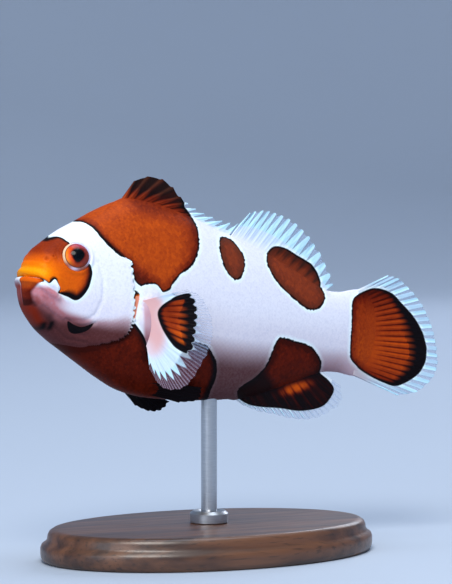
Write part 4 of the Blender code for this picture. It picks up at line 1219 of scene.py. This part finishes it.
def breast_guides(sheet_at):
    """Breast fin: its own spot, pink at the root, white below it, wine-coloured towards the lower margin."""
    spot = [(*sheet_at(u, v), edge) for u, v, edge in BREAST_SPOT]

    def guides(along, high, u, v):
        """Guides from the distance to the spot's outline and from soft steps across and out."""
        inside, edge = inside_outline(spot, along, high)
        fire = 0.42 - 0.14 * fall(inside, 1.0, 0.9) + 0.12 * rise(u, 0.3, 0.2)
        fire = fire - 0.14 * fall(v, 0.64, 0.22) - 0.10 * fall(u, 0.26, 0.14)
        pink = 0.85 * fall(v, 0.52, 0.22) * (0.6 + 0.4 * fall(u, 0.9, 0.3))
        low = rise(u, 0.42, 0.2)
        return {"inside": inside, "edge": edge, "fire": fire, "dusk": 0.0, "blush": pink, "wine": low,
                "soot": 0.0, "film": 0.97 - 0.25 * low, "barred": 0.50 + 0.45 * rise(u, 0.54, 0.16)}
    return guides


def belly_guides(_along, _high, _u, _v):
    """Belly fins: sooty all over, with faint brown rays."""
    return {"inside": 2.0, "edge": 0.02, "fire": 0.05, "dusk": 0.97, "blush": 0.0, "wine": 0.5, "soot": 0.92}


def build_fins(look):
    """All the fins, each standing for its solid."""
    build_fin("front_dorsal", look, DORSAL_SPINES, ridge(17.8, 40.2, True, 0.12),
              curve_of(DORSAL_SPINE_TIPS), 1.3, dorsal_guides,
              Margin(start=0.40, wide=0.42, narrow=0.20, line=0.0, notch=1.2, film=0.8),
              ("dorsal_fin_front",), spiny=True, seed=3)
    build_fin("rear_dorsal", look, 15, ridge(40.6, 62.4, True, 0.10), curve_of(DORSAL_RAY_TIPS), 1.3,
              rear_dorsal_guides, Margin(start=0.46, narrow=0.20, line=0.30, film=0.8),
              ("dorsal_fin_rear",), seed=4)
    build_fin("anal", look, 13, ridge(46.4, 63.2, False), curve_of(ANAL_TIPS), 1.3, anal_guides,
              Margin(start=0.60, count=2, phase=0.5, wide=0.34, narrow=0.06, line=0.0, notch=0.3, dim=0.3),
              ("anal_fin",), seed=5)
    build_fin("tail", look, 23, curve_of(TAIL_ROOT), curve_of(TAIL_TIPS), 1.4, tail_guides,
              Margin(start=0.60, wide=0.40, narrow=0.28, line=0.0, notch=0.2, dim=0.25, film=0.72,
                     fingers=0.35, plain=0.16, ends=1.0), ("tail_fin",), seed=6)
    for word, hand in HANDS:
        mirror = np.array((1.0, 1.0, 1.0, hand))
        breast_root = [(u, a, h, hand * (side_at(a, h) - SEATED)) for u, (a, h) in enumerate(BREAST_ROOT)]
        root, tip = curve_of(breast_root), curve_of(np.array(BREAST_TIPS) * mirror)

        def sheet_at(u, v, root=root, tip=tip):
            """(along, high) of a place on the breast fin, on the line from its root to its tip."""
            start, end = root(np.array([u]))[0], tip(np.array([u]))[0]
            return tuple(start[:2] + (end - start)[:2] * v)

        build_fin(f"breast_fin_{word}", look, 17, root, tip, 1.2, breast_guides(sheet_at),
                  Margin(start=0.66, wide=0.54, narrow=0.0, length=0.58, line=0.55, lines=3, notch=0.2,
                         lobes=0.45, plain=0.3),
                  (f"pectoral_fin_{word}",), bow=0.8, seed=7)
        belly_root = [(u, a, underside_at(a, w) + SEATED, hand * w) for u, (a, w) in enumerate(BELLY_ROOT)]
        build_fin(f"belly_fin_{word}", look, 7, curve_of(belly_root),
                  curve_of(np.array(BELLY_TIPS[hand]) * mirror), 1.1, belly_guides,
                  Margin(start=0.97, notch=0.3), (f"pelvic_fin_{word}",), seed=8)


# ---- stand ----
def turned(name, profile, look, replaces, stretch=(1.0, 1.0), around=128):
    """A profile of (radius, height) in millimetres turned about the Z axis, closed at both ends."""
    radius, height = np.array(profile, float).T[..., None]
    turn = (np.arange(around) * 2.0 * math.pi / around)[None, :]
    x, y = radius * np.cos(turn) * stretch[0], radius * np.sin(turn) * stretch[1]
    places = np.stack([x, y, height + 0.0 * turn], -1).reshape(-1, 3) * MM
    ring = np.arange(around)
    caps = [ring[::-1].tolist(), (ring + (len(profile) - 1) * around).tolist()]
    faces = ring_quads(len(profile), around).tolist() + caps
    make_piece(name, places, faces, look, replaces, creased=True)


def wood_look():
    """Dark stained wood: long grain bands along the base, with fine pores, under a satin varnish."""
    look = Look("stained wood", Coat_Weight=0.35, Coat_Roughness=0.2)
    bands = look.noise(120.0, 4.0, (0.25, 2.6, 2.6))
    pores = look.noise(900.0, 2.0, (0.12, 2.0, 2.0))
    colour = look.mix(look.step(bands, 0.34, 0.66), paint(58, 34, 22), paint(104, 66, 42))
    colour = look.mix(look.step(pores, 0.56, 0.72) * 0.6, colour, paint(34, 20, 14))
    look.feed(Base_Color=colour, Roughness=0.34 + 0.2 * pores)
    look.rough_up(pores, 0.00008, 0.5)
    return look.material


def metal_look():
    """Brushed steel: fine scratches round the rod and small changes of sheen."""
    look = Look("brushed steel", Metallic=1.0)
    brush = look.noise(600.0, 3.0, (1.0, 1.0, 9.0))
    colour = look.mix(brush, paint(168, 170, 174), paint(206, 208, 211))
    look.feed(Base_Color=colour, Roughness=0.22 + 0.22 * brush)
    look.rough_up(brush, 0.00002, 0.5)
    return look.material


def build_stand():
    """Base with a softly moulded edge, a collar and the rod, to the sizes of their solids."""
    wood, metal = wood_look(), metal_look()
    low, top = (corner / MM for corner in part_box("stand_base"))
    length, width, height = top - low
    edge = length / 2
    profile = [(0.02, 0.0), (edge - 1.2, 0.0), (edge - 0.5, 0.25), (edge - 0.1, 0.9), (edge, 1.6),
               (edge, 2.6), (edge - 0.25, 3.2), (edge - 0.9, 3.6), (edge - 1.3, 4.1), (edge - 1.4, 4.9),
               (edge - 1.7, 5.5), (edge - 2.4, height - 0.08), (edge - 3.2, height), (2.0, height)]
    turned("display_base", profile, wood, ("stand_base",), (1.0, width / length), 160)
    low, top = (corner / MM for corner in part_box("stand_rod"))
    radius = (top - low).x / 2
    profile = [(radius, low.z), (radius, top.z)]
    turned("display_rod", profile, metal, ("stand_rod",), around=48)
    low, top = (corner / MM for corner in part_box("stand_collar"))
    collar, foot = (top - low).x / 2, low.z - 0.3
    profile = [(collar - 0.2, foot), (collar, foot + 0.2), (collar, top.z - 0.5), (collar - 0.5, top.z),
               (radius + 0.5, top.z), (radius + 0.2, top.z - 0.2)]
    turned("display_collar", profile, metal, ("stand_collar",), around=64)


# ---- studio ----
AIM = np.array((2.94, -1.23, 49.26)) * MM
EYE_POINT = np.array((-207.28, -432.24, 70.19)) * MM
LENS, SENSOR, CLIP = 158.3, 36.0, (0.01, 10.0)
# The floor's flat part, its bend into the wall and the wall's top, in metres.
FLOOR_REACH, WALL_BEND, WALL_TOP = 1.1, 0.5, 1.7
ROOM_LIGHT = 0.38
# Soft round lamps: name, place, size in metres, power in watts and colour.
LAMPS = (("key", (-0.42, -0.66, 0.84), 0.55, 10.0, paint(255, 252, 246)),
         ("fill", (-0.95, -0.60, 0.45), 0.80, 3.2, paint(232, 242, 255)),
         ("top", (0.15, 0.00, 1.20), 0.80, 6.5, paint(226, 240, 255)),
         ("rim", (0.75, 0.65, 0.60), 0.60, 3.5, paint(238, 244, 255)))
LAMPS_AIM = (0.0, 0.0, 0.05)


def aimed(obj, place, target):
    """Puts an object at a place and turns its -Z axis to a target, with its Y axis up."""
    ahead = unit(np.array(target) - place)
    obj.location = place
    obj.rotation_euler = (math.acos(-ahead[2]), 0.0, math.atan2(-ahead[0], ahead[1]))


def build_floor():
    """Pale round floor that sweeps up into a wall: a profile of (radius, height) in metres, turned."""
    look = Look("pale studio", Roughness=0.85)
    cloth = look.noise(3.0, 2.0)
    look.feed(Base_Color=look.mix(cloth, paint(172, 184, 202), paint(180, 192, 208)))
    turn = np.linspace(0.0, 2.0 * math.pi, 97)[None, :]
    bend = np.linspace(0.0, math.pi / 2, 16)[1:]
    radius = [0.0, 0.4, FLOOR_REACH, *(FLOOR_REACH + WALL_BEND * np.sin(bend)), FLOOR_REACH + WALL_BEND]
    height = [0.0, 0.0, 0.0, *(WALL_BEND * (1.0 - np.cos(bend))), WALL_TOP]
    radius, height = np.array([radius, height])[..., None]
    places = np.stack([radius * np.cos(turn), radius * np.sin(turn), height + 0.0 * turn], -1)
    mesh = bpy.data.meshes.new("studio_floor")
    mesh.from_pydata(places.reshape(-1, 3).tolist(), [], grid_quads(*places.shape[:2])[:, ::-1].tolist())
    mesh.shade_smooth()
    mesh.materials.append(look.material)
    floor = in_scene("studio_floor", mesh)


def build_studio():
    """Floor, soft lamps, an even glow from all round, and the camera."""
    build_floor()
    for name, place, size, power, colour in LAMPS:
        lamp = bpy.data.lights.new(name, "AREA")
        lamp.shape = "DISK"
        lamp.size, lamp.energy, lamp.color = size, power, colour
        obj = in_scene(name, lamp)
        obj.visible_camera = False
        aimed(obj, place, LAMPS_AIM)
    scene = bpy.context.scene
    scene.world = bpy.data.worlds.new("soft room")
    scene.world.use_nodes = True
    glow = scene.world.node_tree.nodes["Background"].inputs
    glow["Color"].default_value = (*paint(214, 226, 242), 1.0)
    glow["Strength"].default_value = ROOM_LIGHT
    camera = bpy.data.cameras.new("camera")
    camera.lens, camera.sensor_width = LENS, SENSOR
    camera.clip_start, camera.clip_end = CLIP
    scene.camera = in_scene("camera", camera)
    aimed(scene.camera, EYE_POINT, AIM)
    scene.view_settings.view_transform = "Standard"


skin = build_skin(skin_look("bare skin", 0.55))
build_scales(skin, skin_look("scaled skin", 0.75))
build_eyes(eye_look())
build_fins(fin_look())
build_stand()
build_studio()
